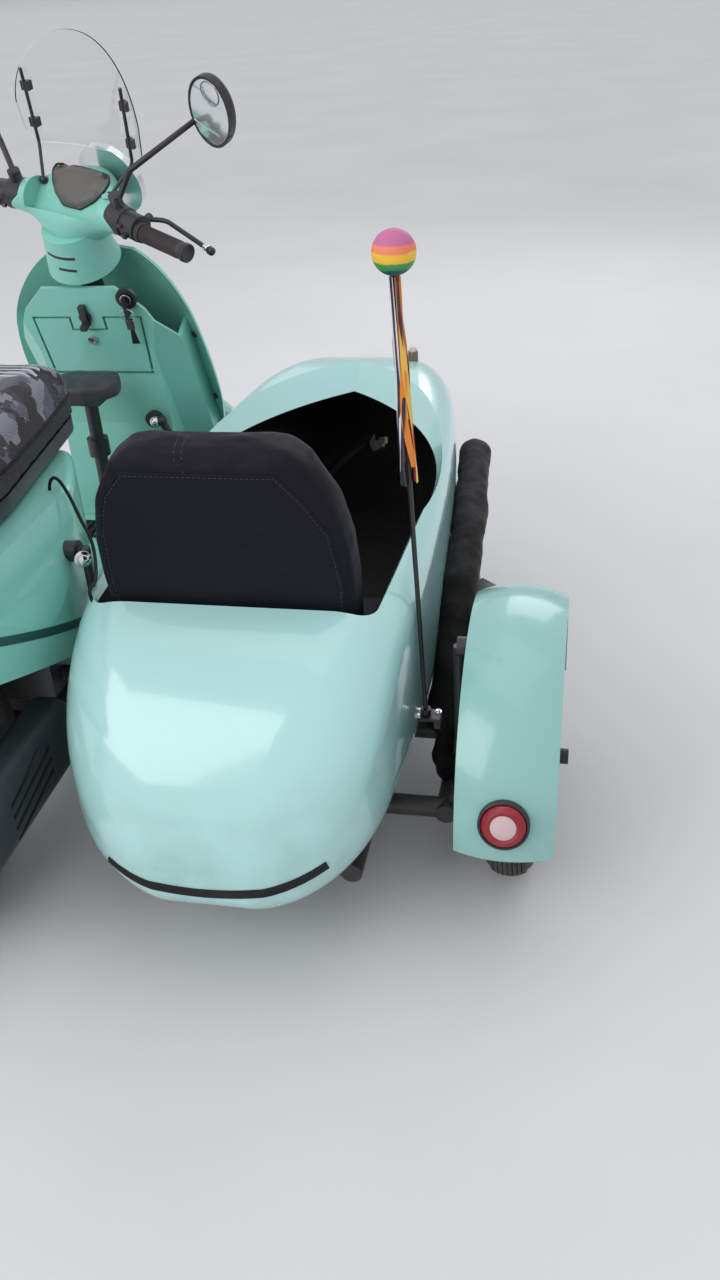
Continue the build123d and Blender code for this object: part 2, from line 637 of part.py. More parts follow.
def centre_stand():
    """The folded centre stand: two legs, cross tube, feet and foot lever."""
    y0, z0 = STAND_PIVOT_Y, STAND_PIVOT_Z
    foot_y = y0 - STAND_LENGTH * math.cos(math.radians(STAND_FOLD))
    foot_z = z0 - STAND_LENGTH * math.sin(math.radians(STAND_FOLD))
    whole = rod((-40, y0, z0), (40, y0, z0), 14)
    for side in (-1, 1):
        knee = (side * 30, y0 - 46, z0 - 46 * math.tan(math.radians(STAND_FOLD)))
        whole += tube([(side * 30, y0, z0), knee, (side * 112, foot_y, foot_z)], 10, [24])
        whole += rod((side * 104, foot_y, foot_z), (side * 128, foot_y, foot_z), 13)
    middle = 0.5
    my, mz = y0 + (foot_y - y0) * middle, z0 + (foot_z - z0) * middle
    whole += rod((-74, my, mz), (74, my, mz), 8)
    return whole - rod((-60, y0, z0), (60, y0, z0), 8 + RUN_GAP)


def child_saddle():
    """The child's saddle in front of the rider."""
    top, thick = 684.0, 52.0
    plan = rounded([(-62, 54), (62, 54), (80, 0), (30, -80), (-30, -80), (-80, 0)], [30, 30, 40, 20, 20, 40])
    pad = extrude(plan, amount=thick)
    pad = fillet(pad.edges().group_by(Axis.Z)[-1], 14)
    pad = fillet(pad.edges().group_by(Axis.Z)[0], 18)
    return Pos(0, SADDLE_Y, top - thick) * pad


def saddle_post():
    """The saddle's post, its top plate and the clamp bracket on the floor tunnel."""
    foot = FLOOR_Z + 14 + SEAT_GAP
    y = SADDLE_Y
    post = rod((0, y, foot), (0, y, 628), 15)
    post += block(-34, 34, y - 30, y + 30, 624, 684 - 52 - SEAT_GAP)
    post += block(-40, 40, y - 35, y + 35, foot, foot + 8)
    collar = rod((0, y, 500), (0, y, 540), 24)
    return post + collar


def head_tube():
    """The frame's head tube, in which the column turns, and the down tube to the frame's spine."""
    sleeve = framed(rod((0, 0, HEAD_LOW), (0, 0, NECK_H - 10), HEAD_R))
    spine_top = FLOOR_Z - FLOOR_T
    join = to_world(0, HEAD_LOW + 60)
    down = tube([(0, *join), (0, DOWN_TUBE_Y, 330), (0, DOWN_TUBE_Y, spine_top)], DOWN_TUBE_R, [60])
    return sleeve + down - framed(rod((0, 0, HEAD_LOW - 60), (0, 0, NECK_H), COLUMN_R + RUN_GAP))


COLUMN_BENDS = [40, 60]


def column_route():
    """The column's line: down the axis, then out and down beside the wheel."""
    crown = FRONT_ALONG + 278
    return [(0, 0, NECK_H + 20), (0, 0, crown + 24), (FORK_LEG_X, 6, crown - 36), (FORK_LEG_X, -34, FRONT_ALONG + 34)]


def steering_column():
    """The column through the shield, bent round the wheel's right side to the link pivot."""
    column = tube(column_route(), COLUMN_R, COLUMN_BENDS)
    column += rod((FORK_LEG_X - 18, -38, FRONT_ALONG), (FORK_LEG_X + 18, -38, FRONT_ALONG), 20)
    column += rod((FORK_LEG_X, -34, FRONT_ALONG + 40), (FORK_LEG_X, -38, FRONT_ALONG), COLUMN_R)
    return steered(column)


def front_suspension():
    """The trailing link with the stub axle, and the spring unit."""
    link_x = FORK_LEG_X + 18 + 12 + SEAT_GAP
    link = rod((link_x, -38, FRONT_ALONG), (link_x, AHEAD, FRONT_ALONG), 12)
    link += rod((link_x + 12, -38, FRONT_ALONG), (link_x - 12, -38, FRONT_ALONG), 21)
    link += rod((link_x + 10, AHEAD, FRONT_ALONG), (-52, AHEAD, FRONT_ALONG), AXLE_R)
    link += rod((link_x + 10, AHEAD, FRONT_ALONG), (FRONT_TYRE_W / 2 + 8, AHEAD, FRONT_ALONG), 20)
    low, high = Vector(link_x, AHEAD - 6, FRONT_ALONG + 10), Vector(link_x, 12, FRONT_ALONG + 196)
    link += rod(tuple(low), tuple(high), 8)
    for i in range(8):
        start = low + (high - low) * (0.2 + 0.085 * i)
        link += rod(tuple(start), tuple(start + (high - low) * 0.045), 17)
    return steered(link)


def front_fender():
    """The helmet-shaped mudguard over the front wheel."""
    inner_r = FRONT_TYRE_R + 18
    outer_r = inner_r + 6
    w = 74.0
    outer = make_face([
        ThreePointArc((w, 0, outer_r - 34), (0, 0, outer_r), (-w, 0, outer_r - 34)),
        Polyline((-w, 0, outer_r - 34), (-w + 4, 0, 150), (w - 4, 0, 150), (w, 0, outer_r - 34)),
    ])
    inner = make_face([
        ThreePointArc((w - 6, 0, inner_r - 36), (0, 0, inner_r), (-w + 6, 0, inner_r - 36)),
        Polyline((-w + 6, 0, inner_r - 36), (-w + 10, 0, 100), (w - 10, 0, 100), (w - 6, 0, inner_r - 36)),
    ])
    ring = revolve(outer, axis=Axis.X) - revolve(inner, axis=Axis.X)
    cut = make_face(Polyline((0, 320, -40), (0, 210, 60), (0, 0, 96), (0, -200, 10), (0, -320, -60), (0, -320, -400),
                             (0, 320, -400), close=True))
    ring -= extrude(cut, amount=200, dir=(1, 0, 0), both=True)
    fender = Pos(0, AHEAD, FRONT_ALONG) * ring
    fender -= rod((0, 0, FRONT_ALONG), (0, 0, FRONT_ALONG + 400), COLUMN_R + 12)
    fender -= rod((FORK_LEG_X, 6, FRONT_ALONG + 10), (FORK_LEG_X, 6, FRONT_ALONG + 260), 30)
    fender += rod((0, 0, FRONT_ALONG + 240), (0, 0, FRONT_ALONG + 292), COLUMN_R + 15)
    fender -= tube(column_route(), COLUMN_R + SEAT_GAP, COLUMN_BENDS)
    return steered(fender.solids().sort_by(SortBy.VOLUME)[-1])


def headset_arms(grow):
    """The handlebar cover without its neck: sections across the bars."""
    sections = []
    table = [(BAR_COVER_X, 28, 27, 22, BAR_H), (106, 38, 36, 30, BAR_H - 3), (62, 64, 56, 46, BAR_H - 15),
             (0, 98, 72, 62, BAR_H - LAMP_DROP)]
    # columns: X, half depth, half height, centre ahead of the axis, centre along the axis
    mirrored = [(-x, half_d, half_h, ahead, along) for x, half_d, half_h, ahead, along in table[:-1]]
    for x, half_d, half_h, ahead, along in mirrored + table[::-1]:
        plane = Plane(origin=(x, ahead, along), x_dir=(0, 1, 0), z_dir=(1, 0, 0))
        sections.append(plane * Ellipse(half_d + grow, half_h + grow))
    return loft(sections, ruled=False) - DIAL_PLANE * Pos(0, 0, grow) * block(-96, 96, -76, 60, 0, 90)


# Plane of the instruments' face on the headset: X right, Y up the face, Z out of it
DIAL_SLOPE = 34.0
DIAL_PLANE = Plane(
    origin=(0, 70, BAR_H + 19),
    x_dir=(1, 0, 0),
    z_dir=(0, -math.sin(math.radians(DIAL_SLOPE)), math.cos(math.radians(DIAL_SLOPE))),
)


def headset():
    """The handlebar cover: a round nose with the lamp's seat, a flat face for the instruments and the neck."""
    neck = Pos(0, 6, NECK_H + 4) * Cone(80, 62, 90, align=(Align.CENTER, Align.CENTER, Align.MIN))
    body = headset_arms(0) + neck
    body -= rod((0, 0, NECK_H - 40), (0, 0, NECK_H + 30), COLUMN_R + SEAT_GAP)
    body -= Pos(0, 236, BAR_H - LAMP_DROP) * Rot(-90, 0, 0) * Cylinder(HEADLAMP_R + 6, 160)
    return steered(body)


def instrument_panel():
    """The instruments' flat cluster on the headset."""
    plan = rounded([(-62, 22), (62, 22), (52, -22), (18, -44), (-18, -44), (-52, -22)], [14, 14, 10, 10, 10, 10])
    plate = extrude(plan, amount=8)
    plate = fillet(plate.edges().group_by(Axis.Z)[-1], 3)
    return steered(DIAL_PLANE * Pos(0, 0, SEAT_GAP) * plate)


def headlamp():
    """The round lamp in the headset: rim and domed lens."""
    face = 156.0 + SEAT_GAP
    rim = Cylinder(HEADLAMP_R + 5, 16, align=(Align.CENTER, Align.CENTER, Align.MIN))
    dome = Pos(0, 0, 16) * Cylinder(HEADLAMP_R - 4, 12, align=(Align.CENTER, Align.CENTER, Align.MIN))
    dome = fillet(dome.edges().group_by(Axis.Z)[-1], 9)
    return steered(Pos(0, face, BAR_H - LAMP_DROP) * Rot(-90, 0, 0) * (rim + dome))


def switch_ends(side):
    """The ends of a switch housing's centre line, between the cover's arm and the grip."""
    return (side * (BAR_COVER_X - 6), 20, BAR_H), (side * (BAR_END_X - GRIP_LENGTH - 13), 9, BAR_H)


def switch_housings():
    arms = headset_arms(SEAT_GAP)
    return steered(Compound(children=[rod(*switch_ends(side), SWITCH_R) - arms for side in (-1, 1)]))


def grips():
    """Two ribbed grips with bar ends."""
    shapes = []
    for side in (-1, 1):
        x0, x1 = BAR_END_X - GRIP_LENGTH - 12 + SEAT_GAP, BAR_END_X - 12
        y0, y1 = 8.5, -16.0
        grip = rod((side * x0, y0, BAR_H), (side * x1, y1, BAR_H - 3), GRIP_R)
        grip += rod((side * x0, y0, BAR_H), (side * (x0 + 6), y0 - 1.2, BAR_H), GRIP_R + 6)
        grip += rod((side * x1, y1, BAR_H - 3), (side * (x1 + 12), y1 - 2.4, BAR_H - 3), GRIP_R + 3)
        shapes.append(grip - rod(*switch_ends(side), SWITCH_R + SEAT_GAP))
    return steered(Compound(children=shapes))


def levers():
    """Brake levers ahead of the grips, with ball ends."""
    shapes = []
    for side in (-1, 1):
        root, knee = (side * 180, 50, BAR_H - 9), (side * 214, 64, BAR_H - 14)
        end = (side * (BAR_END_X + 14), 26, BAR_H - 23)
        tip = Vector(*end) + (Vector(*end) - Vector(*knee)).normalized() * 16
        knob = rod(end, tuple(tip), 8.5)
        lever = tube([root, knee, end], 5, [40]) + fillet(knob.edges(), 5)
        post = rod((side * 180, 58, BAR_H - 9), (side * 180, 20, BAR_H - 5), 9) - rod(*switch_ends(side), SWITCH_R + SEAT_GAP)
        lever += post.solids().sort_by(Axis.Y)[-1]
        shapes.append(lever)
    return steered(Compound(children=shapes))


def mirror_frame(side):
    """Plane of a mirror's glass: it faces the rider and a little inwards."""
    centre = (side * MIRROR_X, MIRROR_AHEAD, MIRROR_ALONG)
    return Plane(origin=centre, x_dir=(1, 0, 0), z_dir=(0, -1, 0)) * Rot(0, side * -12, 0)


def mirrors():
    """Stems and shells of the two mirrors."""
    shapes = []
    for side in (-1, 1):
        foot = (side * 132, 30, BAR_H + 31)
        knee = (side * 168, 60, BAR_H + 95)
        back = (side * (MIRROR_X - 42), MIRROR_AHEAD + 12, MIRROR_ALONG - 50)
        stem = tube([foot, knee, back], 6, [24])
        stem += rod((foot[0], foot[1], foot[2] - 12), (foot[0], foot[1], foot[2] + 20), 13)
        shell = extrude(Ellipse(60, 80), amount=26)
        shell = fillet(shell.edges().group_by(Axis.Z)[0], 14)
        shell -= Pos(0, 0, 22) * extrude(Ellipse(54, 74), amount=10)
        shell = mirror_frame(side) * Pos(0, 0, -26) * shell
        shapes.append((shell + (stem - headset_arms(SEAT_GAP))).solids().sort_by(SortBy.VOLUME)[-1])
    return steered(Compound(children=shapes))


def mirror_glasses():
    shapes = []
    for side in (-1, 1):
        glass = Pos(0, 0, -4 + SEAT_GAP) * extrude(Ellipse(53.7, 73.7), amount=3)
        shapes.append(mirror_frame(side) * glass)
    return steered(Compound(children=shapes))


def screen_plane():
    return Plane(origin=(0, 152, BAR_H + 49), x_dir=(1, 0, 0), z_dir=(0, math.sin(math.radians(12)), math.cos(math.radians(12))))


def windscreen():
    """A clear curved sheet with a rounded top."""
    r, t = SCREEN_R, SCREEN_T
    half, height = 156.0, 226.0
    ring = Cylinder(r, 2 * height, align=(Align.CENTER, Align.CENTER, Align.CENTER))
    ring -= Cylinder(r - t, 3 * height)
    face = make_face([
        Polyline((-half + 26, 0, 0), (half - 26, 0, 0), (half - 6, 0, 24), (half, 0, 80)),
        ThreePointArc((half, 0, 80), (0, 0, height), (-half, 0, 80)),
        Polyline((-half, 0, 80), (-half + 6, 0, 24), (-half + 26, 0, 0)),
    ])
    cut = extrude(face, amount=200, dir=(0, 1, 0), both=True)
    sheet = (Pos(0, -r, 0) * ring) & cut & block(-200, 200, -120, 20, -10, height + 10)
    return steered(screen_plane() * sheet)


def screen_stays():
    """Two thin rods behind the screen with their rubber clamps."""
    shapes = []
    behind = Pos(0, -SCREEN_R, 0) * Cylinder(SCREEN_R - SCREEN_T - SEAT_GAP, 600)
    for side in (-1, 1):
        back = -SCREEN_R + math.sqrt((SCREEN_R - SCREEN_T) ** 2 - 125 ** 2) - SEAT_GAP
        clamp_t = 10.0
        foot = (side * 88, -84, -50)
        stay = tube([foot, (side * 122, back - clamp_t, 4), (side * 125, back - clamp_t, 150)], 3.5, [22])
        stay += Pos(*foot) * Sphere(9)
        for z in (44, 116):
            clamp = Box(18, clamp_t + 10, 18, align=(Align.CENTER, Align.MAX, Align.CENTER))
            stay += (Pos(side * 125, back + 8, z) * clamp) & behind
        stay = screen_plane() * stay - headset_arms(SEAT_GAP)
        shapes.append(stay.solids().sort_by(SortBy.VOLUME)[-1])
    return steered(Compound(children=shapes))


def tub_section(y, half, z0, z1, low_r, top_r):
    """One cross section of the sidecar body: flat bottom and top, four round corners."""
    pts = []
    for sx, cz, r in ((1, z0 + low_r, low_r), (1, z1 - top_r, top_r), (-1, z1 - top_r, top_r), (-1, z0 + low_r, low_r)):
        pts.append((SIDECAR_X + sx * (half - r), cz, r))
    edges = []
    angles = [(270, 360), (0, 90), (90, 180), (180, 270)]
    ends = []
    for (cx, cz, r), (a0, a1) in zip(pts, angles):
        def on(a):
            return Vector(cx + r * math.cos(math.radians(a)), y, cz + r * math.sin(math.radians(a)))
        edges.append(ThreePointArc(on(a0), on((a0 + a1) / 2), on(a1)))
        ends.append((on(a0), on(a1)))
    for i in range(4):
        edges.append(Line(ends[i][1], ends[(i + 1) % 4][0]))
    return make_face(edges)


TUB_SECTIONS = [
    # Y, half width, bottom Z, top Z, lower corner radius, upper corner radius
    (-146, 92, 196, 262, 30, 30),
    (-118, 168, 166, 366, 90, 90),
    (-40, 240, 156, 476, 130, 120),
    (90, 270, 154, 566, 150, 110),
    (320, 284, 154, 598, 150, 90),
    (700, 282, 154, 602, 150, 80),
    (1020, 256, 156, 603, 150, 80),
    (1260, 204, 170, 598, 130, 90),
    (1420, 128, 214, 530, 100, 100),
    (1500, 48, 300, 420, 44, 44),
]


def tub_form(inset):
    sections = []
    last = len(TUB_SECTIONS) - 1
    for i, (y, half, z0, z1, low_r, top_r) in enumerate(TUB_SECTIONS):
        shift = inset if i == 0 else (-inset if i == last else 0)
        sections.append(tub_section(y + shift, half - inset, z0 + inset, z1 - inset,
                                    low_r - inset, top_r - inset))
    return loft(sections)


def cockpit_plan(grow, front_grow):
    """The cockpit's outline: straight at the rear, widest near the rider, round in front."""
    rear, wide = COCKPIT_REAR_Y - grow, COCKPIT_WIDE_Y
    front = COCKPIT_FRONT_Y + front_grow
    rear_w, half = COCKPIT_REAR_HALF_W + grow, COCKPIT_HALF_W + grow
    corner = 28.0 + grow
    bend = math.radians(45)
    span = front - wide
    right = [
        Line((0, rear), (rear_w - corner, rear)),
        ThreePointArc((rear_w - corner, rear),
                      (rear_w - corner + corner * math.sin(bend), rear + corner - corner * math.cos(bend)),
                      (rear_w, rear + corner)),
        Line((rear_w, rear + corner), (half, wide)),
        ThreePointArc((half, wide), (half * 0.8, wide + span * 0.62), (0, front)),
    ]
    return make_face(right + [edge.mirror(Plane.YZ) for edge in right])


def coaming_form(grow):
    """The funnel of the cockpit's sloping rim, from the opening's edge up through the body's top."""
    rise = (COAMING_HIGH - COCKPIT_EDGE_Z) / (COAMING_TOP_Z - COCKPIT_EDGE_Z)
    low = Pos(SIDECAR_X, 0, COCKPIT_EDGE_Z) * cockpit_plan(grow, grow)
    high = Pos(SIDECAR_X, 0, COAMING_HIGH) * cockpit_plan(grow + COAMING_W * rise, grow + COAMING_FRONT * rise)
    return loft([low, high])


def sidecar_tub():
    """The hollow sidecar body with a sloping coaming round the cockpit."""
    mouth = Pos(SIDECAR_X, 0, COCKPIT_EDGE_Z - 120) * extrude(cockpit_plan(0, 0), amount=120)
    cutter = coaming_form(0) + mouth
    cavity = tub_form(TUB_WALL) - coaming_form(COAMING_T)
    return tub_form(0) - cavity - cutter


def seat_box():
    """The bench under the sidecar seat."""
    z0 = TUB_SECTIONS[4][2] + TUB_WALL + SEAT_GAP
    return block(SIDECAR_X - 170, SIDECAR_X + 170, 190, 620, z0 - 9, BENCH_Z) & tub_form(TUB_WALL + SEAT_GAP)


def sidecar_seat():
    pad = block(SIDECAR_X - 200, SIDECAR_X + 200, 252, 640, BENCH_Z + SEAT_GAP, 320)
    pad = fillet(pad.edges().filter_by(Axis.Z), 40)
    return fillet(pad.edges().group_by(Axis.Z)[-1], 26)


def backrest_outline():
    right = [(0, 0), (196, 0), (206, 24), (216, 330), (212, 400), (196, 470), (156, 540), (128, 562), (96, 568), (0, 568)]
    left = [(-x, z) for x, z in right[1:-1]]
    return make_face(Polyline(*(right + left[::-1]), close=True))


BACKREST_LEAN = 7.0
BACKREST_T = 76.0


def sidecar_backrest():
    """The upright cushion, leaning back over the cockpit's rear edge."""
    pad = extrude(backrest_outline(), amount=BACKREST_T)
    pad = fillet(pad.edges().group_by(Axis.Z)[-1] + pad.edges().group_by(Axis.Z)[0], 16)
    plane = Plane(origin=(SIDECAR_X, COCKPIT_REAR_Y + 36.2, 286), x_dir=(1, 0, 0),
                  z_dir=(0, -math.cos(math.radians(BACKREST_LEAN)), -math.sin(math.radians(BACKREST_LEAN))))
    return plane * Pos(0, 0, -BACKREST_T) * pad


def sidecar_frame():
    """Two rails and cross tubes under the body, with pads and the wheel's outrigger."""
    z, r = FRAME_TUBE_Z, FRAME_TUBE_R
    tub_low = TUB_SECTIONS[4][2]
    whole = None
    for x in RAIL_X:
        rail = rod((x, 10, z), (x, 1150, z), r)
        whole = rail if whole is None else whole + rail
    for y in (30, SIDE_WHEEL_Y + 170, 1120):
        whole += rod((RAIL_X[0], y, z), (RAIL_X[1], y, z), r)
    whole += rod((RAIL_X[1], SIDE_WHEEL_Y + 170, z), (OUTRIGGER_X, SIDE_WHEEL_Y + 170, z), r)
    whole += rod((RAIL_X[1], SIDE_WHEEL_Y - 60, z), (OUTRIGGER_X, SIDE_WHEEL_Y - 60, z), r)
    whole += rod((OUTRIGGER_X, SIDE_WHEEL_Y - 80, z), (OUTRIGGER_X, SIDE_WHEEL_Y + 420, z), r)
    for x in (RAIL_X[0] + 60, RAIL_X[1] - 60):
        for y in (30, SIDE_WHEEL_Y + 170, 1120):
            whole += block(x - 25, x + 25, y - 20, y + 20, z, tub_low - SEAT_GAP)
    for stay in mudguard_stays():
        whole += stay
    return whole


def wheel_arm():
    """The trailing arm with the stub axle, and its spring unit up to the side bar."""
    z = SIDE_TYRE_R
    arm_x = 906.0
    arm = rod((arm_x, SIDE_WHEEL_Y + 170, FRAME_TUBE_Z), (arm_x, SIDE_WHEEL_Y, z), 17)
    arm += rod((OUTRIGGER_X + FRAME_TUBE_R + SEAT_GAP, SIDE_WHEEL_Y + 170, FRAME_TUBE_Z), (arm_x + 14, SIDE_WHEEL_Y + 170, FRAME_TUBE_Z), 22)
    arm += rod((arm_x - 20, SIDE_WHEEL_Y, z), (arm_x + 22, SIDE_WHEEL_Y, z), 27)
    arm += rod((arm_x, SIDE_WHEEL_Y, z), (SIDE_AXLE_END_X - 18, SIDE_WHEEL_Y, z), AXLE_R)
    arm += rod((SIDE_AXLE_END_X - 20, SIDE_WHEEL_Y, z), (SIDE_AXLE_END_X - 15, SIDE_WHEEL_Y, z), 18)
    arm += rod((SIDE_AXLE_END_X - 16, SIDE_WHEEL_Y, z), (SIDE_AXLE_END_X, SIDE_WHEEL_Y, z), 13)
    return arm


def mudguard_section(radius, half):
    edge = radius - 16
    return make_face([
        ThreePointArc((half, 0, edge), (0, 0, radius), (-half, 0, edge)),
        Polyline((-half, 0, edge), (-half, 0, 120), (half, 0, 120), (half, 0, edge)),
    ])


def mudguard():
    """The sidecar wheel's crowned mudguard with short skirts, and its two stays."""
    half = MUDGUARD_W / 2
    t = MUDGUARD_T
    ring = revolve(mudguard_section(MUDGUARD_R, half), axis=Axis.X)
    ring -= revolve(mudguard_section(MUDGUARD_R - t, half - t), axis=Axis.X)
    ring -= Rot(0, 90, 0) * Cylinder(MUDGUARD_R - 56, 400)
    low = 20.0
    ring &= block(-200, 200, -400, 400, low, 400)
    return Pos(SIDE_WHEEL_X, SIDE_WHEEL_Y, SIDE_TYRE_R) * ring


def mudguard_stays():
    """Tubes from the outrigger up to the mudguard's inner skirt, each with its pad."""
    x = SIDE_WHEEL_X - MUDGUARD_W / 2 - SEAT_GAP
    stays = []
    for y, top in ((SIDE_WHEEL_Y - 60, SIDE_TYRE_R + 256), (SIDE_WHEEL_Y + 215, SIDE_TYRE_R + 150)):
        stay = tube([(OUTRIGGER_X, y, FRAME_TUBE_Z), (x - 14, y, FRAME_TUBE_Z + 60), (x - 14, y, top)], 9, [30])
        stays.append(stay + rod((x - 16, y, top), (x, y, top), 16))
    return stays


def side_bar():
    """The padded bar along the body's right side, from the outrigger up and forward and down to the front tube."""
    path = [(854, 268, 186), (854, 400, 290), (854, 560, 385), (852, 720, 425), (834, 1040, 455), (822, 1125, 400),
            (790, 1140, 200), (RAIL_X[1] + FRAME_TUBE_R + 24, 1120, FRAME_TUBE_Z)]
    bends = [150, 150, 200, 70, 90, 40]
    core = tube(path, 13, bends) + rod((OUTRIGGER_X, 268, FRAME_TUBE_Z), path[0], 13)
    core += Pos(*path[0]) * Sphere(17)
    core += tube([(854, 306, 215.9), *path[1:6]], SIDE_BAR_R, bends[:4])
    core += rod(path[-1], (RAIL_X[1] + FRAME_TUBE_R + SEAT_GAP, 1120, FRAME_TUBE_Z), 15)
    for x, y0, y1 in ((OUTRIGGER_X, 100, 700),):
        core -= rod((x, y0, FRAME_TUBE_Z), (x, y1, FRAME_TUBE_Z), FRAME_TUBE_R + SEAT_GAP)
    return core


def step_plate():
    """The dark footstep ahead of the sidecar wheel, on its post."""
    z = 290.0
    plate = extrude(rounded([(848, 770), (936, 690), (894, 566), (846, 600)], [14, 14, 14, 14]), amount=7)
    post = rod((OUTRIGGER_X, 640, FRAME_TUBE_Z + FRAME_TUBE_R + SEAT_GAP), (OUTRIGGER_X, 640, z + 2), 9)
    return Pos(0, 0, z) * plate + post


def pole():
    """The flag pole with its ball, and its bright bracket on the body's flank."""
    foot, top = pole_ends()
    bracket = block(812, 856, 216, 246, 300, 306) + block(846, 856, 216, 246, 286, 306)
    bracket += rod((foot[0], foot[1], 302), (foot[0], foot[1], foot[2] + 12), 9)
    ball = Pos(top[0], top[1], top[2] + BALL_R) * Sphere(BALL_R)
    return rod(foot, (top[0], top[1], top[2] + 9), POLE_R) + (bracket - tub_form(-SEAT_GAP)) + ball


def pole_ends():
    """Foot on the bracket, and top just under the ball."""
    return (830.0, 231.0, 306.0), (806.0, 230.0, 306.0 + POLE_H - BALL_R)


def ribbons():
    """The bundle of ribbons that hangs round the pole under the ball."""
    foot, top = pole_ends()
    along = (Vector(*foot) - Vector(*top)).normalized()
    start = Vector(*top) + along * 2
    end = start + along * RIBBON_LENGTH
    return rod(tuple(start), tuple(end), 12) - rod(tuple(start - along * 9), tuple(end + along * 9), POLE_R + SEAT_GAP)


def nose_lamp():
    """The small marker lamp on the nose."""
    lamp = Pos(NOSE_LAMP_X, NOSE_LAMP_Y, 580) * Cylinder(12, 52, align=(Align.CENTER, Align.CENTER, Align.MIN))
    lamp = fillet(lamp.edges().group_by(Axis.Z)[-1], 5)
    return lamp - tub_form(-SEAT_GAP)


def mudguard_lamp():
    """The round tail lamp low on the back of the mudguard."""
    angle = math.degrees(math.asin((LAMP_Z - SIDE_TYRE_R) / MUDGUARD_R))
    housing = Cylinder(LAMP_R, 16, align=(Align.CENTER, Align.CENTER, Align.MIN))
    lens = Cylinder(LAMP_R - 5, 30, align=(Align.CENTER, Align.CENTER, Align.MIN))
    lens = fillet(lens.edges().group_by(Axis.Z)[-1], 8)
    reach = MUDGUARD_R - 12
    centre = Plane(origin=(SIDE_WHEEL_X, SIDE_WHEEL_Y, SIDE_TYRE_R), x_dir=(1, 0, 0),
                   z_dir=(0, -math.cos(math.radians(angle)), math.sin(math.radians(angle))))
    lamp = centre * Pos(0, 0, reach) * (housing + lens)
    half = MUDGUARD_W / 2 + SEAT_GAP
    solid = revolve(mudguard_section(MUDGUARD_R + SEAT_GAP, half), axis=Axis.X)
    return lamp - Pos(SIDE_WHEEL_X, SIDE_WHEEL_Y, SIDE_TYRE_R) * solid


def upper_struts():
    """The two rods that brace the sidecar to the scooter: front one to the inner panel, rear one at the cowl."""
    rail = RAIL_X[0] - FRAME_TUBE_R - 12 - SEAT_GAP
    knob_y = FLOOR_FRONT_Y - SEAT_GAP
    front = rod((98, knob_y + 9, 545), (98, knob_y - 20, 545), 19) + rod((98, knob_y - 10, 545), (120, knob_y - 26, 545), 9)
    front += Pos(120, knob_y - 26, 545) * Sphere(13)
    foot_y = STRUT_FOOT_Y
    front += rod((120, knob_y - 26, 545), (rail, foot_y, FRAME_TUBE_Z + 10), 9)
    front += rod((rail, foot_y + 12, FRAME_TUBE_Z + 6), (rail, foot_y - 14, FRAME_TUBE_Z + 6), 12)
    front -= side_slab(panel_side(-SEAT_GAP), 130)
    knob_x = 190.0
    rear = rod((knob_x, 275, 575), (221, 275, 575), 19) + rod((218, 275, 575), (232, 275, 575), 10)
    rear += Pos(232, 275, 575) * Sphere(11)
    rear += tube([(232, 275, 575), (232, 275, 232), (rail, 280, FRAME_TUBE_Z + 10)], 8, [40])
    rear += rod((rail, 292, FRAME_TUBE_Z + 6), (rail, 266, FRAME_TUBE_Z + 6), 12)
    rear -= body_form(-SEAT_GAP, 0)
    return Compound(children=[bar.solids().sort_by(SortBy.VOLUME)[-1] for bar in (front, rear)])


def lower_links():
    """The two clamped bars between the scooter's underframe and the sidecar frame."""
    shapes = []
    rail = RAIL_X[0] - FRAME_TUBE_R - SEAT_GAP
    for y in (REAR_LINK_Y, FRONT_LINK_Y):
        start, end = (150 + SEAT_GAP, y, 205), (rail - 16, y, FRAME_TUBE_Z + 2)
        link = rod((start[0] + 8, y, 205), end, 12) + rod(start, (start[0] + 14, y, 205), 18)
        link += rod((rail - 18, y, FRAME_TUBE_Z), (rail, y, FRAME_TUBE_Z), 17)
        shapes.append(link)
    return Compound(children=shapes)


# Route of the lamp cable: up out of the body beside the seat, over the gap and down into the sidecar's rear edge
CABLE_R = 3.0
CABLE_POINTS = [
    (150, 350, BODY_TOP_Z + 0.6), (153, 349, 673), (170, 346, 684), (192, 336, 656), (214, 318, 614),
    (242, 292, 588), (261, 250, 557), (276, 204, 552), (287, 166, 568), (293, 144, 568), (300.4, 139, 550.4),
]


def cable_radii(points):
    """Each bend as large as its two runs allow."""
    radii = []
    for before, here, after in zip(points, points[1:], points[2:]):
        first = Vector(*here) - Vector(*before)
        second = Vector(*after) - Vector(*here)
        half_turn = math.radians(first.get_angle(second)) / 2
        radii.append(0.45 * min(first.length, second.length) / math.tan(half_turn))
    return radii


def cable():
    """The lamp cable from beside the seat across to the sidecar's rear edge."""
    whole = tube(CABLE_POINTS, CABLE_R, cable_radii(CABLE_POINTS)) - tub_form(-SEAT_GAP)
    return whole.solids().sort_by(SortBy.VOLUME)[-1]


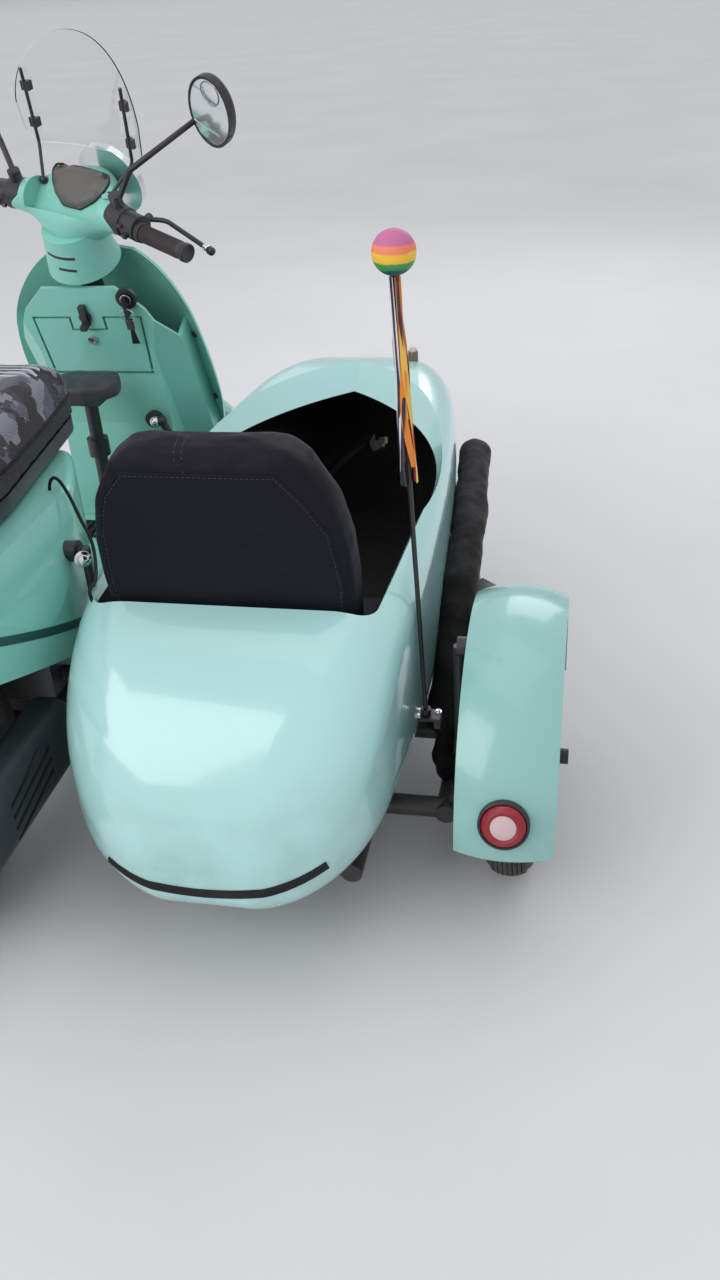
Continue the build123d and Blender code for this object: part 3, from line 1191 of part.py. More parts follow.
def build_parts():
    parts = {}
    shell = body_shell()
    parts["leg_shield"] = leg_shield()
    parts["column_cover"] = column_cover()
    parts["inner_shield"] = inner_shield()
    parts["glovebox_door"] = glovebox_door()
    parts["panel_fittings"] = panel_fittings()
    parts["turn_lamps"] = turn_lamps()
    parts["floorboard"] = floorboard()
    parts["floor_mats"] = floor_mats()
    parts["underframe"] = underframe()
    parts["rear_body"] = rear_body(shell)
    parts["cowl_right"] = cowl(shell, 1)
    parts["cowl_left"] = cowl(shell, -1)
    parts["seat_base"] = seat_base()
    parts["seat_cushion"] = seat_cushion()
    parts["tail_lamp"] = tail_lamp()
    parts["plate_holder"] = plate_holder()
    parts["grab_rail"] = grab_rail()
    parts["engine_block"] = engine_block()
    parts["rear_shock"] = rear_shock()
    parts["muffler"] = muffler()
    parts["centre_stand"] = centre_stand()
    parts["child_saddle"] = child_saddle()
    parts["saddle_post"] = saddle_post()
    parts["head_tube"] = head_tube()
    parts["steering_column"] = steering_column()
    parts["front_suspension"] = front_suspension()
    parts["front_fender"] = front_fender()
    parts["headset"] = headset()
    parts["instrument_panel"] = instrument_panel()
    parts["headlamp"] = headlamp()
    parts["switch_housings"] = switch_housings()
    parts["grips"] = grips()
    parts["levers"] = levers()
    parts["mirrors"] = mirrors()
    parts["mirror_glasses"] = mirror_glasses()
    parts["windscreen"] = windscreen()
    parts["screen_stays"] = screen_stays()
    front = Pos(0, AHEAD, FRONT_ALONG)
    parts["front_tyre"] = steered(front * wheel_tyre(FRONT_TYRE_R, FRONT_TYRE_W, SCOOTER_RIM_R))
    parts["front_rim"] = steered(front * wheel_rim(SCOOTER_RIM_R, FRONT_TYRE_W, 10, 44))
    rear = Pos(0, 0, REAR_TYRE_R)
    parts["rear_tyre"] = rear * wheel_tyre(REAR_TYRE_R, REAR_TYRE_W, SCOOTER_RIM_R)
    parts["rear_rim"] = rear * wheel_rim(SCOOTER_RIM_R, REAR_TYRE_W, 10, 50)
    side = Pos(SIDE_WHEEL_X, SIDE_WHEEL_Y, SIDE_TYRE_R)
    parts["sidecar_tyre"] = side * wheel_tyre(SIDE_TYRE_R, SIDE_TYRE_W, SIDE_RIM_R)
    parts["sidecar_rim"] = side * wheel_rim(SIDE_RIM_R, SIDE_TYRE_W, 8, 38)
    parts["sidecar_tub"] = sidecar_tub()
    parts["seat_box"] = seat_box()
    parts["sidecar_seat"] = sidecar_seat()
    parts["sidecar_backrest"] = sidecar_backrest()
    parts["sidecar_frame"] = sidecar_frame()
    parts["wheel_arm"] = wheel_arm()
    parts["mudguard"] = mudguard()
    parts["side_bar"] = side_bar()
    parts["step_plate"] = step_plate()
    parts["pole"] = pole()
    parts["ribbons"] = ribbons()
    parts["sidecar_lamps"] = Compound(children=[nose_lamp(), mudguard_lamp()])
    parts["cable"] = cable()
    parts["upper_struts"] = upper_struts()
    parts["lower_links"] = lower_links()
    return parts


def origin_shift(parts):
    """The move that puts the outfit's bottom centre at the origin."""
    boxes = [shape.bounding_box() for shape in parts.values()]
    x = (min(b.min.X for b in boxes) + max(b.max.X for b in boxes)) / 2
    y = (min(b.min.Y for b in boxes) + max(b.max.Y for b in boxes)) / 2
    return (-x, -y, 0.0)


if __name__ == "__main__":
    os.makedirs("parts", exist_ok=True)
    pieces = build_parts()
    shift = origin_shift(pieces)
    for name, shape in pieces.items():
        export_step(Pos(*shift) * shape, f"parts/{name}.step")
    print("moved by", [round(v, 3) for v in shift], "front wheel lowered by", round(FRONT_DROP, 3))
    print("cable bends", [round(r) for r in cable_radii(CABLE_POINTS)])
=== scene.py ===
import json
import math

import bmesh
import bpy
from bpy.props import FloatProperty, FloatVectorProperty, IntProperty, PointerProperty
from bpy.types import Operator, Panel, PropertyGroup
from mathutils import Matrix, Vector
from mathutils.bvhtree import BVHTree

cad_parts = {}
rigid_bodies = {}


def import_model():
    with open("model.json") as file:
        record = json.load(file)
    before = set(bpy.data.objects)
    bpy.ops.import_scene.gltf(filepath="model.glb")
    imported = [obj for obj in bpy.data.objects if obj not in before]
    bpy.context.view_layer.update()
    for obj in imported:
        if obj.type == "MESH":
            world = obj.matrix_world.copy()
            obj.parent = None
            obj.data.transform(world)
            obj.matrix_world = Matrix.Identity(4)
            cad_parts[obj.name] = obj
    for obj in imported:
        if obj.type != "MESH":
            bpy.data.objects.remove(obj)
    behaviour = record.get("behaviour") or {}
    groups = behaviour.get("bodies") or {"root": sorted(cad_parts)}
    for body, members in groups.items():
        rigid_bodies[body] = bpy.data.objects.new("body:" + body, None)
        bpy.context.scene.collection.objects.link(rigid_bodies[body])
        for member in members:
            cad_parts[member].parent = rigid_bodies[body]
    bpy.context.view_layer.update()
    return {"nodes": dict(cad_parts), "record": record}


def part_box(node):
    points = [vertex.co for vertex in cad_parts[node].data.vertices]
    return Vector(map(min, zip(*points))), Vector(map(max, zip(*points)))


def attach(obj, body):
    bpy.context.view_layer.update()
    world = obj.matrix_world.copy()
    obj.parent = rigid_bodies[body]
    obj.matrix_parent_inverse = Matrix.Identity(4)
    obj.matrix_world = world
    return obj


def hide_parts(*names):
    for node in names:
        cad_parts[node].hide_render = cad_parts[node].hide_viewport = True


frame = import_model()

bl_info = {
    "name": "Motor scooter with sidecar",
    "version": (1, 0, 0),
    "blender": (4, 5, 0),
    "location": "View3D > Sidebar > Scooter",
    "description": "Dresses the scooter and its sidecar: finishes, upholstery, tyres, cable, trim and stage",
    "category": "Object",
}

# Places are given in millimetres from the rear wheel's ground contact: X right, Y forward, Z up
OFFSET = Vector((-0.375037, -0.618938, 0.0))
RAKE = math.radians(26)
STEER_REST = math.radians(20)
STEER_FOOT_Y = 1414.0
BAR_H = 1127.0
SIDECAR_X = 537.0
BALL_H = 1081.5
# Heights in metres: the rider's seat hem, and the sidecar body's coaming, under which it is lined
SEAT_HEM = 0.737
COAMING = 0.5536


def srgb(red, green, blue):
    """A colour given from 0 to 255, as the shaders take it."""
    linear = []
    for value in (red, green, blue):
        value = value / 255
        linear.append(value / 12.92 if value <= 0.04045 else ((value + 0.055) / 1.055) ** 2.4)
    return tuple(linear)


def at(x, y, z):
    """A point in the frame, from millimetres."""
    return Vector((x, y, z)) / 1000 + OFFSET


def basis(origin, across, ahead, up):
    """The matrix of a local frame with these three axes."""
    matrix = Matrix((across, ahead, up)).transposed().to_4x4()
    matrix.translation = origin
    return matrix


def frame_along(origin, direction, hint=(0, 0, 1)):
    """A local frame whose Z runs along a direction."""
    up = Vector(direction).normalized()
    across = Vector(hint).cross(up)
    if across.length < 1e-4:
        across = Vector((1, 0, 0)).cross(up)
    if across.length < 1e-4:
        across = Vector((0, 1, 0)).cross(up)
    across.normalize()
    return basis(Vector(origin), across, up.cross(across), up)


def leaned(origin, tilt):
    """A frame tilted back about X: X right, Y up its slope, Z out of it towards the rear."""
    sine, cosine = math.sin(tilt), math.cos(tilt)
    return basis(origin, (1, 0, 0), (0, -sine, cosine), (0, -cosine, -sine))


def pitched(origin, tilt):
    """A frame pitched up about X: X right, Y ahead and up, Z out of it."""
    sine, cosine = math.sin(tilt), math.cos(tilt)
    return basis(origin, (1, 0, 0), (0, cosine, sine), (0, -sine, cosine))


# The parked steering: X right, Y ahead of its axis, Z along it, in metres
STEER = pitched(at(0, STEER_FOOT_Y, 0), RAKE) @ Matrix.Rotation(-STEER_REST, 4, "Z")
STEER_AHEAD = STEER.col[1].xyz.normalized()


def steer_at(x, ahead, along):
    """A point on the parked steering, from millimetres in its own frame."""
    return STEER @ (Vector((x, ahead, along)) / 1000)


# Working on meshes


def activate(piece):
    bpy.ops.object.select_all(action="DESELECT")
    piece.select_set(True)
    bpy.context.view_layer.objects.active = piece


def named(piece, name):
    piece.name = piece.data.name = name
    return piece


def linked(name, data):
    """A new object in the scene."""
    piece = bpy.data.objects.new(name, data)
    bpy.context.scene.collection.objects.link(piece)
    return piece


def primitive(kind, name, **values):
    """Adds a primitive, names it, and brings its place into its mesh."""
    bpy.ops.object.select_all(action="DESELECT")
    getattr(bpy.ops.mesh, f"primitive_{kind}_add")(**values)
    piece = named(bpy.context.object, name)
    activate(piece)
    bpy.ops.object.transform_apply(location=True, rotation=True, scale=True)
    return piece


def block_start(name, low, high):
    """A cube primitive between two corners given in metres."""
    low, high = Vector(low), Vector(high)
    return primitive("cube", name, size=1, location=(low + high) / 2, scale=high - low)


def drum_start(name, radius, height, sides=48, top=None):
    """A cylinder primitive, or a cone's stump, that stands on the local origin."""
    place = (0, 0, height / 2)
    if top is None:
        return primitive("cylinder", name, vertices=sides, radius=radius, depth=height, location=place)
    return primitive("cone", name, vertices=sides, radius1=radius, radius2=top, depth=height, location=place)


def ball_start(name, radius, centre=(0, 0, 0), segments=32, rings=16):
    return primitive("uv_sphere", name, segments=segments, ring_count=rings, radius=radius, location=centre)


def edit(piece, everything=False):
    """Edit mode on one piece, with all of it selected or nothing."""
    activate(piece)
    bpy.ops.object.mode_set(mode="EDIT")
    bpy.ops.mesh.select_mode(type="FACE")
    bpy.ops.mesh.select_all(action="SELECT" if everything else "DESELECT")


def choose(piece, kind, items, test):
    """Selects the faces, edges or vertices that pass a test."""
    bpy.ops.mesh.select_mode(type=kind)
    bpy.ops.mesh.select_all(action="DESELECT")
    mesh = bmesh.from_edit_mesh(piece.data)
    for item in getattr(mesh, items):
        item.select_set(bool(test(item)))
    if kind != "EDGE":
        mesh.select_flush_mode()
    bmesh.update_edit_mesh(piece.data)


def pick(piece, test):
    """Selects the faces whose middle and normal pass a test."""
    choose(piece, "FACE", "faces", lambda face: test(face.calc_center_median(), face.normal))


def pick_edges(piece, test):
    """Selects the edges whose ends pass a test."""
    choose(piece, "EDGE", "edges", lambda line: test(line.verts[0].co, line.verts[1].co))


def pick_points(piece, test):
    """Selects the vertices that pass a test."""
    choose(piece, "VERT", "verts", lambda vert: test(vert.co))


def shaded(piece, angle):
    """Shades a piece by angle."""
    activate(piece)
    bpy.ops.object.shade_smooth_by_angle(angle=math.radians(angle))
    return piece


def done(piece, angle=35, recalculate=False):
    """Leaves edit mode and shades the piece by angle."""
    if recalculate:
        bpy.ops.mesh.select_all(action="SELECT")
        bpy.ops.mesh.normals_make_consistent(inside=False)
    bpy.ops.object.mode_set(mode="OBJECT")
    return shaded(piece, angle)


def sunk(piece, test, *insets, angle=35):
    """Insets the faces that pass a test, once for each thickness and depth."""
    edit(piece)
    pick(piece, test)
    for thickness, depth in insets:
        bpy.ops.mesh.inset(thickness=thickness, depth=depth)
    return done(piece, angle)


def apply_modifier(piece, kind, **values):
    """Adds a modifier with these values and applies it."""
    modifier = piece.modifiers.new(kind.title(), kind)
    for key, value in values.items():
        setattr(modifier, key, value)
    activate(piece)
    bpy.ops.object.modifier_apply(modifier=modifier.name)
    return piece


def bevel_all(piece, width, segments=2, angle=40):
    """Rounds every edge sharper than an angle."""
    apply_modifier(piece, "BEVEL", width=width, segments=segments, limit_method="ANGLE",
                   angle_limit=math.radians(angle))
    return shaded(piece, 35)


def put(piece, matrix):
    """Moves a piece's mesh, so that its object stays at the origin."""
    piece.data.transform(matrix)
    if matrix.determinant() < 0:
        piece.data.flip_normals()
    piece.data.update()
    return piece


def copied(piece, name, matrix=None):
    """A copy with its own mesh, moved by a matrix."""
    twin = piece.copy()
    twin.data = piece.data.copy()
    named(twin, name)
    bpy.context.collection.objects.link(twin)
    if matrix is not None:
        put(twin, matrix)
    return twin


def joined(name, *pieces):
    """Several pieces as one object."""
    bpy.ops.object.select_all(action="DESELECT")
    for piece in pieces:
        piece.select_set(True)
    bpy.context.view_layer.objects.active = pieces[0]
    if len(pieces) > 1:
        bpy.ops.object.join()
    return named(bpy.context.view_layer.objects.active, name)


def spread(master, name, matrices):
    """One modelled piece, copied to several places and kept as one object."""
    copies = [copied(master, f"{name}_{i}", matrix) for i, matrix in enumerate(matrices)]
    bpy.data.objects.remove(master)
    return joined(name, *copies)


def dress(piece, material, body, place=None, instead=None):
    """Moves a finished piece into place, gives it its material and body, and hides what it replaces."""
    if place is not None:
        put(piece, place)
    piece.data.materials.clear()
    piece.data.materials.append(bpy.data.materials[material])
    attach(piece, body)
    if instead:
        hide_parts(instead)
    return piece


def line_through(name, points, radius, resolution, sides, cyclic=False):
    """A round tube on a smooth line through points, still a curve."""
    line = bpy.data.curves.new(name, "CURVE")
    line.dimensions = "3D"
    spline = line.splines.new("NURBS")
    spline.points.add(len(points) - 1)
    for point, place in zip(spline.points, points):
        point.co = (*place, 1)
    spline.order_u = min(3, len(points))
    spline.use_endpoint_u = not cyclic
    spline.use_cyclic_u = cyclic
    spline.resolution_u = resolution
    line.bevel_depth = radius
    line.bevel_resolution = sides
    line.use_fill_caps = True
    return linked(name, line)


def tube_along(name, points, radius, resolution=8, sides=6, cyclic=False):
    """The same tube as a mesh."""
    activate(line_through(name, points, radius, resolution, sides, cyclic))
    bpy.ops.object.convert(target="MESH")
    piece = named(bpy.context.object, name)
    edit(piece, everything=True)
    bpy.ops.mesh.remove_doubles(threshold=radius * 0.02)
    return done(piece, 50, recalculate=True)


def tree_of(*pieces):
    """A tree of the pieces' own meshes, to lay trim on their surface."""
    mesh = bmesh.new()
    for piece in pieces:
        mesh.from_mesh(piece.data)
    tree = BVHTree.FromBMesh(mesh)
    mesh.free()
    return tree


def surface_of(*nodes):
    """A tree of CAD nodes."""
    return tree_of(*(frame["nodes"][node] for node in nodes))


def hit(tree, start, way, must=""):
    """Where a line meets a surface and its normal facing back; a miss is None, or an error if it must hit."""
    way = Vector(way)
    place, normal, index, distance = tree.ray_cast(start, way)
    if place is not None:
        return place, -normal if normal.dot(way) > 0 else normal
    if must:
        raise RuntimeError(f"{must} found no surface from {tuple(start)} along {tuple(way)}")
    return None


def hits(tree, starts, ways):
    """The places and normals where lines meet a surface, without those that miss it."""
    found = [hit(tree, start, way) for start, way in zip(starts, ways)]
    found = [spot for spot in found if spot]
    return [place for place, normal in found], [normal for place, normal in found]


def band_along(name, places, normals, width, height, cyclic=False):
    """A raised band with a rounded top that follows places on a surface."""
    mesh = bmesh.new()
    rows = []
    count = len(places)
    for i, (place, normal) in enumerate(zip(places, normals)):
        before = places[i - 1] if i or cyclic else place
        after = places[(i + 1) % count] if i + 1 < count or cyclic else place
        along = (after - before).normalized()
        side = along.cross(normal).normalized() * width / 2
        lift = normal * height
        section = (place - side - normal * 0.001, place - side + lift * 0.55, place - side * 0.6 + lift,
                   place + side * 0.6 + lift, place + side + lift * 0.55, place + side - normal * 0.001)
        rows.append([mesh.verts.new(corner) for corner in section])
    for i in range(count if cyclic else count - 1):
        first, second = rows[i], rows[(i + 1) % count]
        for j in range(6):
            k = (j + 1) % 6
            mesh.faces.new((first[j], first[k], second[k], second[j]))
    if not cyclic:
        mesh.faces.new(rows[0])
        mesh.faces.new(list(reversed(rows[-1])))
    bmesh.ops.recalc_face_normals(mesh, faces=mesh.faces)
    data = bpy.data.meshes.new(name)
    mesh.to_mesh(data)
    mesh.free()
    return shaded(linked(name, data), 50)


# Sizes and colours that a user would change


def tone(name, about, *colour):
    return FloatVectorProperty(name=name, description=f"Colour of the {about}", subtype="COLOR",
                               default=srgb(*colour), min=0, max=1)


def amount(name, about, value, low, high, **more):
    return FloatProperty(name=name, description=about, default=value, min=low, max=high, **more)


def size(name, about, value, low, high):
    return amount(name, about, value, low, high, unit="LENGTH")


class PaintChoices(PropertyGroup):
    """Colours of the painted, plastic and metal parts."""
    mint: tone("Body paint", "painted panels", 132, 203, 188)
    mint_dull: tone("Faded paint", "paint where it has dulled", 122, 186, 174)
    # The sidecar body's paint is a paler copy of the mint it shares with the mudguard: painted light
    tub: tone("Sidecar paint", "sidecar's body", 172, 216, 215)
    # The mudguard's paint is a darker copy of the mint it shares with the sidecar's body: painted shade
    guard: tone("Mudguard paint", "sidecar's mudguard", 138, 188, 184)
    plastic: tone("Black plastic", "unpainted plastic", 38, 38, 41)
    panel_grey: tone("Grey plastic", "instrument cluster and grips", 92, 90, 86)
    frame_black: tone("Frame paint", "painted tubes", 30, 30, 32)
    lens_red: tone("Red lens", "tail lamps", 168, 16, 40)
    lens_amber: tone("Amber lens", "turn lamps", 236, 120, 20)


class UpholsteryChoices(PropertyGroup):
    """Colours and fullness of the cushions."""
    vinyl: tone("Vinyl", "sidecar's upholstery", 25, 25, 34)
    cover_dark: tone("Cover, dark", "seat cover's darkest tone", 58, 56, 68)
    cover_mid: tone("Cover, middle", "seat cover's middle tone", 96, 96, 110)
    cover_light: tone("Cover, light", "seat cover's lightest tone", 138, 140, 152)
    pressure: amount("Stuffing", "How hard the cushions are blown up", 4.0, 0, 20)
    voxel: size("Cloth mesh size", "Edge of the cushions' mesh", 0.006, 0.003, 0.02)


class TyreChoices(PropertyGroup):
    """Tread of the tyres."""
    blocks: IntProperty(name="Tread blocks", description="Blocks round the tyre", default=76, min=24, max=160)
    groove: size("Groove depth", "Depth of the tread's grooves", 0.0032, 0.001, 0.008)
    groove_width: size("Groove width", "Half of the grooves' width", 0.0016, 0.0005, 0.005)


class TrimChoices(PropertyGroup):
    """Strips and ribbons."""
    ribbon: size("Ribbon length", "Length of the longest ribbon", 0.315, 0.05, 0.6)
    foot_strip: size("Foot strip", "Width of the strip round the sidecar's foot", 0.016, 0.004, 0.03)
    # Width of the dark green band laid along each cowl's groove: painted shade
    cowl_strip: size("Cowl strip", "Width of the strip along the cowls", 0.015, 0.004, 0.03)


class StageChoices(PropertyGroup):
    """Camera, light and floor."""
    focal: amount("Focal length", "Lens of the photograph's camera on a 36 mm sensor", 55.35, 10, 200)
    floor: tone("Floor", "floor", 214, 214, 216)
    sky: amount("Room light", "Strength of the even light from all round", 0.86, 0, 4)
    key: amount("Key light", "Strength of the soft light from the left", 1.35, 0, 10)


# Shared shader groups: each gives only colours, values and normals


class Tree:
    """Adds and joins nodes in one node tree."""

    def __init__(self, tree):
        self.tree = tree
        self.place = self.node("ShaderNodeTexCoord").outputs["Object"]

    def node(self, kind, inputs=None, **values):
        node = self.tree.nodes.new(kind)
        for key, value in values.items():
            setattr(node, key, value)
        for key, value in (inputs or {}).items():
            if isinstance(value, bpy.types.NodeSocket):
                self.tree.links.new(value, node.inputs[key])
            else:
                node.inputs[key].default_value = value
        return node

    def height(self):
        return self.node("ShaderNodeSeparateXYZ", {"Vector": self.place}).outputs["Z"]

    def moved(self, **values):
        """The place, moved or scaled."""
        inputs = {"Vector": self.place, **{key.title(): value for key, value in values.items()}}
        return self.node("ShaderNodeMapping", inputs).outputs["Vector"]

    def noise(self, scale, detail=3.0, rough=0.5, place=None):
        inputs = {"Vector": place or self.place, "Scale": scale, "Detail": detail, "Roughness": rough}
        return self.node("ShaderNodeTexNoise", inputs).outputs["Fac"]

    def waves(self, scale, axis, distortion=0.0, profile="SIN"):
        inputs = {"Vector": self.place, "Scale": scale, "Distortion": distortion}
        node = self.node("ShaderNodeTexWave", inputs, bands_direction=axis, wave_profile=profile)
        return node.outputs["Fac"]

    def span(self, value, low, high, to_low=0.0, to_high=1.0):
        inputs = {"Value": value, "From Min": low, "From Max": high, "To Min": to_low, "To Max": to_high}
        return self.node("ShaderNodeMapRange", inputs).outputs["Result"]

    def math(self, operation, first, second=0.0):
        return self.node("ShaderNodeMath", {0: first, 1: second}, operation=operation).outputs[0]

    def times(self, first, second):
        return self.math("MULTIPLY", first, second)

    def plus(self, first, second):
        return self.math("ADD", first, second)

    def mix(self, factor, first, second):
        node = self.node("ShaderNodeMix", data_type="RGBA")
        for index, value in ((0, factor), (6, first), (7, second)):
            if isinstance(value, bpy.types.NodeSocket):
                self.tree.links.new(value, node.inputs[index])
            else:
                node.inputs[index].default_value = value if index == 0 else (*value[:3], 1)
        return node.outputs[2]

    def bump(self, height, strength, distance, normal=None):
        inputs = {"Height": height, "Strength": strength, "Distance": distance}
        if normal is not None:
            inputs["Normal"] = normal
        return self.node("ShaderNodeBump", inputs).outputs["Normal"]


class Group(Tree):
    """A shader group with colour and value inputs, and Color, Roughness and Normal outputs."""

    def __init__(self, name, **inputs):
        group = bpy.data.node_groups.new(name, "ShaderNodeTree")
        super().__init__(group)
        for title, value in inputs.items():
            kind = "Float" if isinstance(value, float) else "Color"
            socket = group.interface.new_socket(name=title, in_out="INPUT", socket_type=f"NodeSocket{kind}")
            socket.default_value = value if kind == "Float" else (*value, 1)
        for title, kind in (("Color", "Color"), ("Roughness", "Float"), ("Normal", "Vector")):
            group.interface.new_socket(name=title, in_out="OUTPUT", socket_type=f"NodeSocket{kind}")
        self.given = group.nodes.new("NodeGroupInput").outputs
        self.leave = group.nodes.new("NodeGroupOutput").inputs

    def close(self, colour, roughness, normal):
        for title, socket in (("Color", colour), ("Roughness", roughness), ("Normal", normal)):
            self.tree.links.new(socket, self.leave[title])


def sprayed_paint():
    """Gloss paint: slow drift in tone, fine orange peel, dust specks, and road film low down."""
    tree = Group("sprayed_paint", Fresh=(0.3, 0.6, 0.5), Dull=(0.25, 0.5, 0.45), Film=srgb(104, 98, 90),
                 Gloss=0.2)
    given = tree.given
    drift = tree.span(tree.noise(2.3, 3), 0.35, 0.7)
    colour = tree.mix(tree.times(drift, 0.55), given["Fresh"], given["Dull"])
    low = tree.times(tree.span(tree.height(), 0.42, 0.12), tree.span(tree.noise(19, 5), 0.35, 0.75))
    colour = tree.mix(tree.times(low, 0.4), colour, given["Film"])
    specks = tree.span(tree.noise(520, 2), 0.70, 0.78)
    colour = tree.mix(tree.times(specks, 0.10), colour, (0.8, 0.8, 0.78))
    swirl = tree.span(tree.noise(38, 4, 0.7), 0.3, 0.8, 0.0, 0.10)
    rough = tree.plus(tree.plus(given["Gloss"], swirl), tree.times(low, 0.25))
    normal = tree.bump(tree.noise(150, 2), 0.05, 0.001)
    tree.close(colour, rough, tree.bump(tree.noise(9, 2), 0.04, 0.01, normal))


def pressed_grain():
    """Vinyl or leather: rounded cells with creases between, in two tones, and painted shade darkening the
    creases.
    """
    tree = Group("pressed_grain", Skin=(0.02, 0.02, 0.025), Worn=(0.05, 0.05, 0.06), Grain=640.0, Depth=0.4)
    given = tree.given
    cells = tree.node("ShaderNodeTexVoronoi", {"Vector": tree.place, "Scale": given["Grain"]},
                      feature="DISTANCE_TO_EDGE").outputs["Distance"]
    pores = tree.span(cells, 0.0, 0.22)
    worn = tree.span(tree.noise(6.5, 4, 0.6), 0.45, 0.75)
    colour = tree.mix(tree.times(worn, 0.8), given["Skin"], given["Worn"])
    # Painted shade: the creases between the cells are darkened towards near black
    colour = tree.mix(tree.span(pores, 0.0, 1.0, 0.35, 0.0), colour, (0.004, 0.004, 0.005))
    rough = tree.span(tree.noise(48, 3), 0.3, 0.7, 0.36, 0.52)
    normal = tree.bump(tree.noise(26, 3), 0.25, 0.004)
    tree.close(colour, rough, tree.bump(pores, given["Depth"], 0.0005, normal))


def moulded_texture():
    """Moulded plastic: fine spark texture, faint scuffs and patches of dust."""
    tree = Group("moulded_texture", Fresh=(0.02, 0.02, 0.02), Scuffed=(0.08, 0.08, 0.08), Sheen=0.45,
                 Depth=0.16)
    given = tree.given
    scuffs = tree.span(tree.noise(34, 6, 0.7, tree.moved(scale=(1.0, 6.0, 2.0))), 0.60, 0.74)
    dust = tree.span(tree.noise(11, 4), 0.45, 0.8)
    colour = tree.mix(tree.times(scuffs, 0.35), given["Fresh"], given["Scuffed"])
    colour = tree.mix(tree.times(dust, 0.25), colour, given["Scuffed"])
    rough = tree.plus(given["Sheen"], tree.times(scuffs, 0.15))
    tree.close(colour, rough, tree.bump(tree.noise(1400, 2), given["Depth"], 0.0004))


def worked_metal():
    """Cast or drawn metal: fine pits, brushed lines, tarnish and road film low down."""
    tree = Group("worked_metal", Bright=(0.6, 0.6, 0.6), Tarnish=(0.3, 0.29, 0.27), Film=srgb(88, 80, 70),
                 Polish=0.3, Pits=0.15)
    given = tree.given
    lines = tree.noise(120, 3, place=tree.moved(scale=(1.0, 1.0, 14.0)))
    cloud = tree.span(tree.noise(14, 5, 0.65), 0.42, 0.72)
    colour = tree.mix(tree.times(cloud, 0.6), given["Bright"], given["Tarnish"])
    low = tree.times(tree.span(tree.height(), 0.40, 0.05), tree.span(tree.noise(27, 5), 0.3, 0.7))
    colour = tree.mix(tree.times(low, 0.45), colour, given["Film"])
    rough = tree.plus(tree.plus(given["Polish"], tree.times(cloud, 0.14)), tree.times(low, 0.2))
    normal = tree.bump(lines, 0.05, 0.0006)
    tree.close(colour, rough, tree.bump(tree.noise(700, 3), given["Pits"], 0.0005, normal))


def aged_rubber():
    """Rubber: bloom, dust in low places and a fine skin."""
    tree = Group("aged_rubber", Rubber=(0.02, 0.02, 0.022), Dust=srgb(112, 104, 96), Bloom=0.3)
    given = tree.given
    bloom = tree.span(tree.noise(9, 4), 0.4, 0.8)
    colour = tree.mix(tree.times(bloom, given["Bloom"]), given["Rubber"], given["Dust"])
    low = tree.times(tree.span(tree.height(), 0.3, 0.0), tree.span(tree.noise(40, 5), 0.35, 0.7))
    colour = tree.mix(tree.times(low, 0.35), colour, given["Dust"])
    rough = tree.span(tree.noise(60, 3), 0.3, 0.7, 0.62, 0.82)
    tree.close(colour, rough, tree.bump(tree.noise(900, 3), 0.2, 0.0005))


def printed_weave():
    """Woven cover with blotches in four tones, a striped patch, a dark hem and crossing threads, with painted
    shade darkening the gaps between them.
    """
    tree = Group("printed_weave", Dark=(0.03, 0.03, 0.04), Middle=(0.1, 0.1, 0.12), Light=(0.25, 0.25, 0.3),
                 Blotch=15.0)
    given = tree.given
    second = tree.noise(given["Blotch"], 2.5, 0.55, tree.moved(location=(3.1, 1.7, 5.3)))
    third = tree.noise(given["Blotch"], 2.0, 0.5, tree.moved(location=(7.7, 4.1, 1.9)))
    first = tree.noise(given["Blotch"], 2.5, 0.55)
    colour = tree.mix(tree.span(first, 0.47, 0.478), given["Dark"], given["Middle"])
    colour = tree.mix(tree.span(second, 0.53, 0.538), colour, given["Light"])
    colour = tree.mix(tree.span(third, 0.55, 0.558), colour, srgb(36, 34, 44))
    threads = tree.times(tree.waves(210.0, "X", 0.4), tree.waves(210.0, "Y", 0.4))
    away = tree.node("ShaderNodeVectorMath", {0: tree.place, 1: tuple(at(8, 540, 806))},
                     operation="DISTANCE").outputs["Value"]
    patch = tree.times(tree.math("LESS_THAN", away, 0.062), tree.span(tree.waves(14.0, "Y"), 0.62, 0.66))
    colour = tree.mix(patch, colour, srgb(206, 206, 212))
    colour = tree.mix(tree.math("LESS_THAN", tree.height(), SEAT_HEM), colour, srgb(26, 25, 30))
    # Painted shade: the gaps between the threads are darkened towards near black
    colour = tree.mix(tree.span(threads, 0.0, 0.6, 0.30, 0.0), colour, (0.01, 0.01, 0.012))
    normal = tree.bump(tree.noise(40, 3), 0.25, 0.004)
    tree.close(colour, tree.span(threads, 0.0, 1.0, 0.92, 0.78), tree.bump(threads, 0.6, 0.0008, normal))


def lamp_lens():
    """Moulded lens: ribs inside clear plastic."""
    tree = Group("lamp_lens", Lens=(0.5, 0.02, 0.02), Deep=(0.2, 0.005, 0.005), Ribs=240.0)
    given = tree.given
    ribs = tree.waves(given["Ribs"], "X", profile="SAW")
    colour = tree.mix(tree.times(ribs, 0.7), given["Lens"], given["Deep"])
    rough = tree.span(tree.noise(90, 2), 0.3, 0.7, 0.08, 0.16)
    tree.close(colour, rough, tree.bump(tree.plus(ribs, tree.waves(given["Ribs"], "Z")), 0.35, 0.0008))


def wiped_glass():
    """Clear plastic or glass with faint smears."""
    tree = Group("wiped_glass", Clear=(0.9, 0.92, 0.92), Smear=(0.8, 0.82, 0.82), Polish=0.02)
    given = tree.given
    smear = tree.span(tree.noise(13, 6, 0.65), 0.5, 0.8)
    rough = tree.plus(given["Polish"], tree.times(smear, 0.06))
    colour = tree.mix(smear, given["Clear"], given["Smear"])
    tree.close(colour, rough, tree.bump(tree.noise(7, 2), 0.03, 0.004))


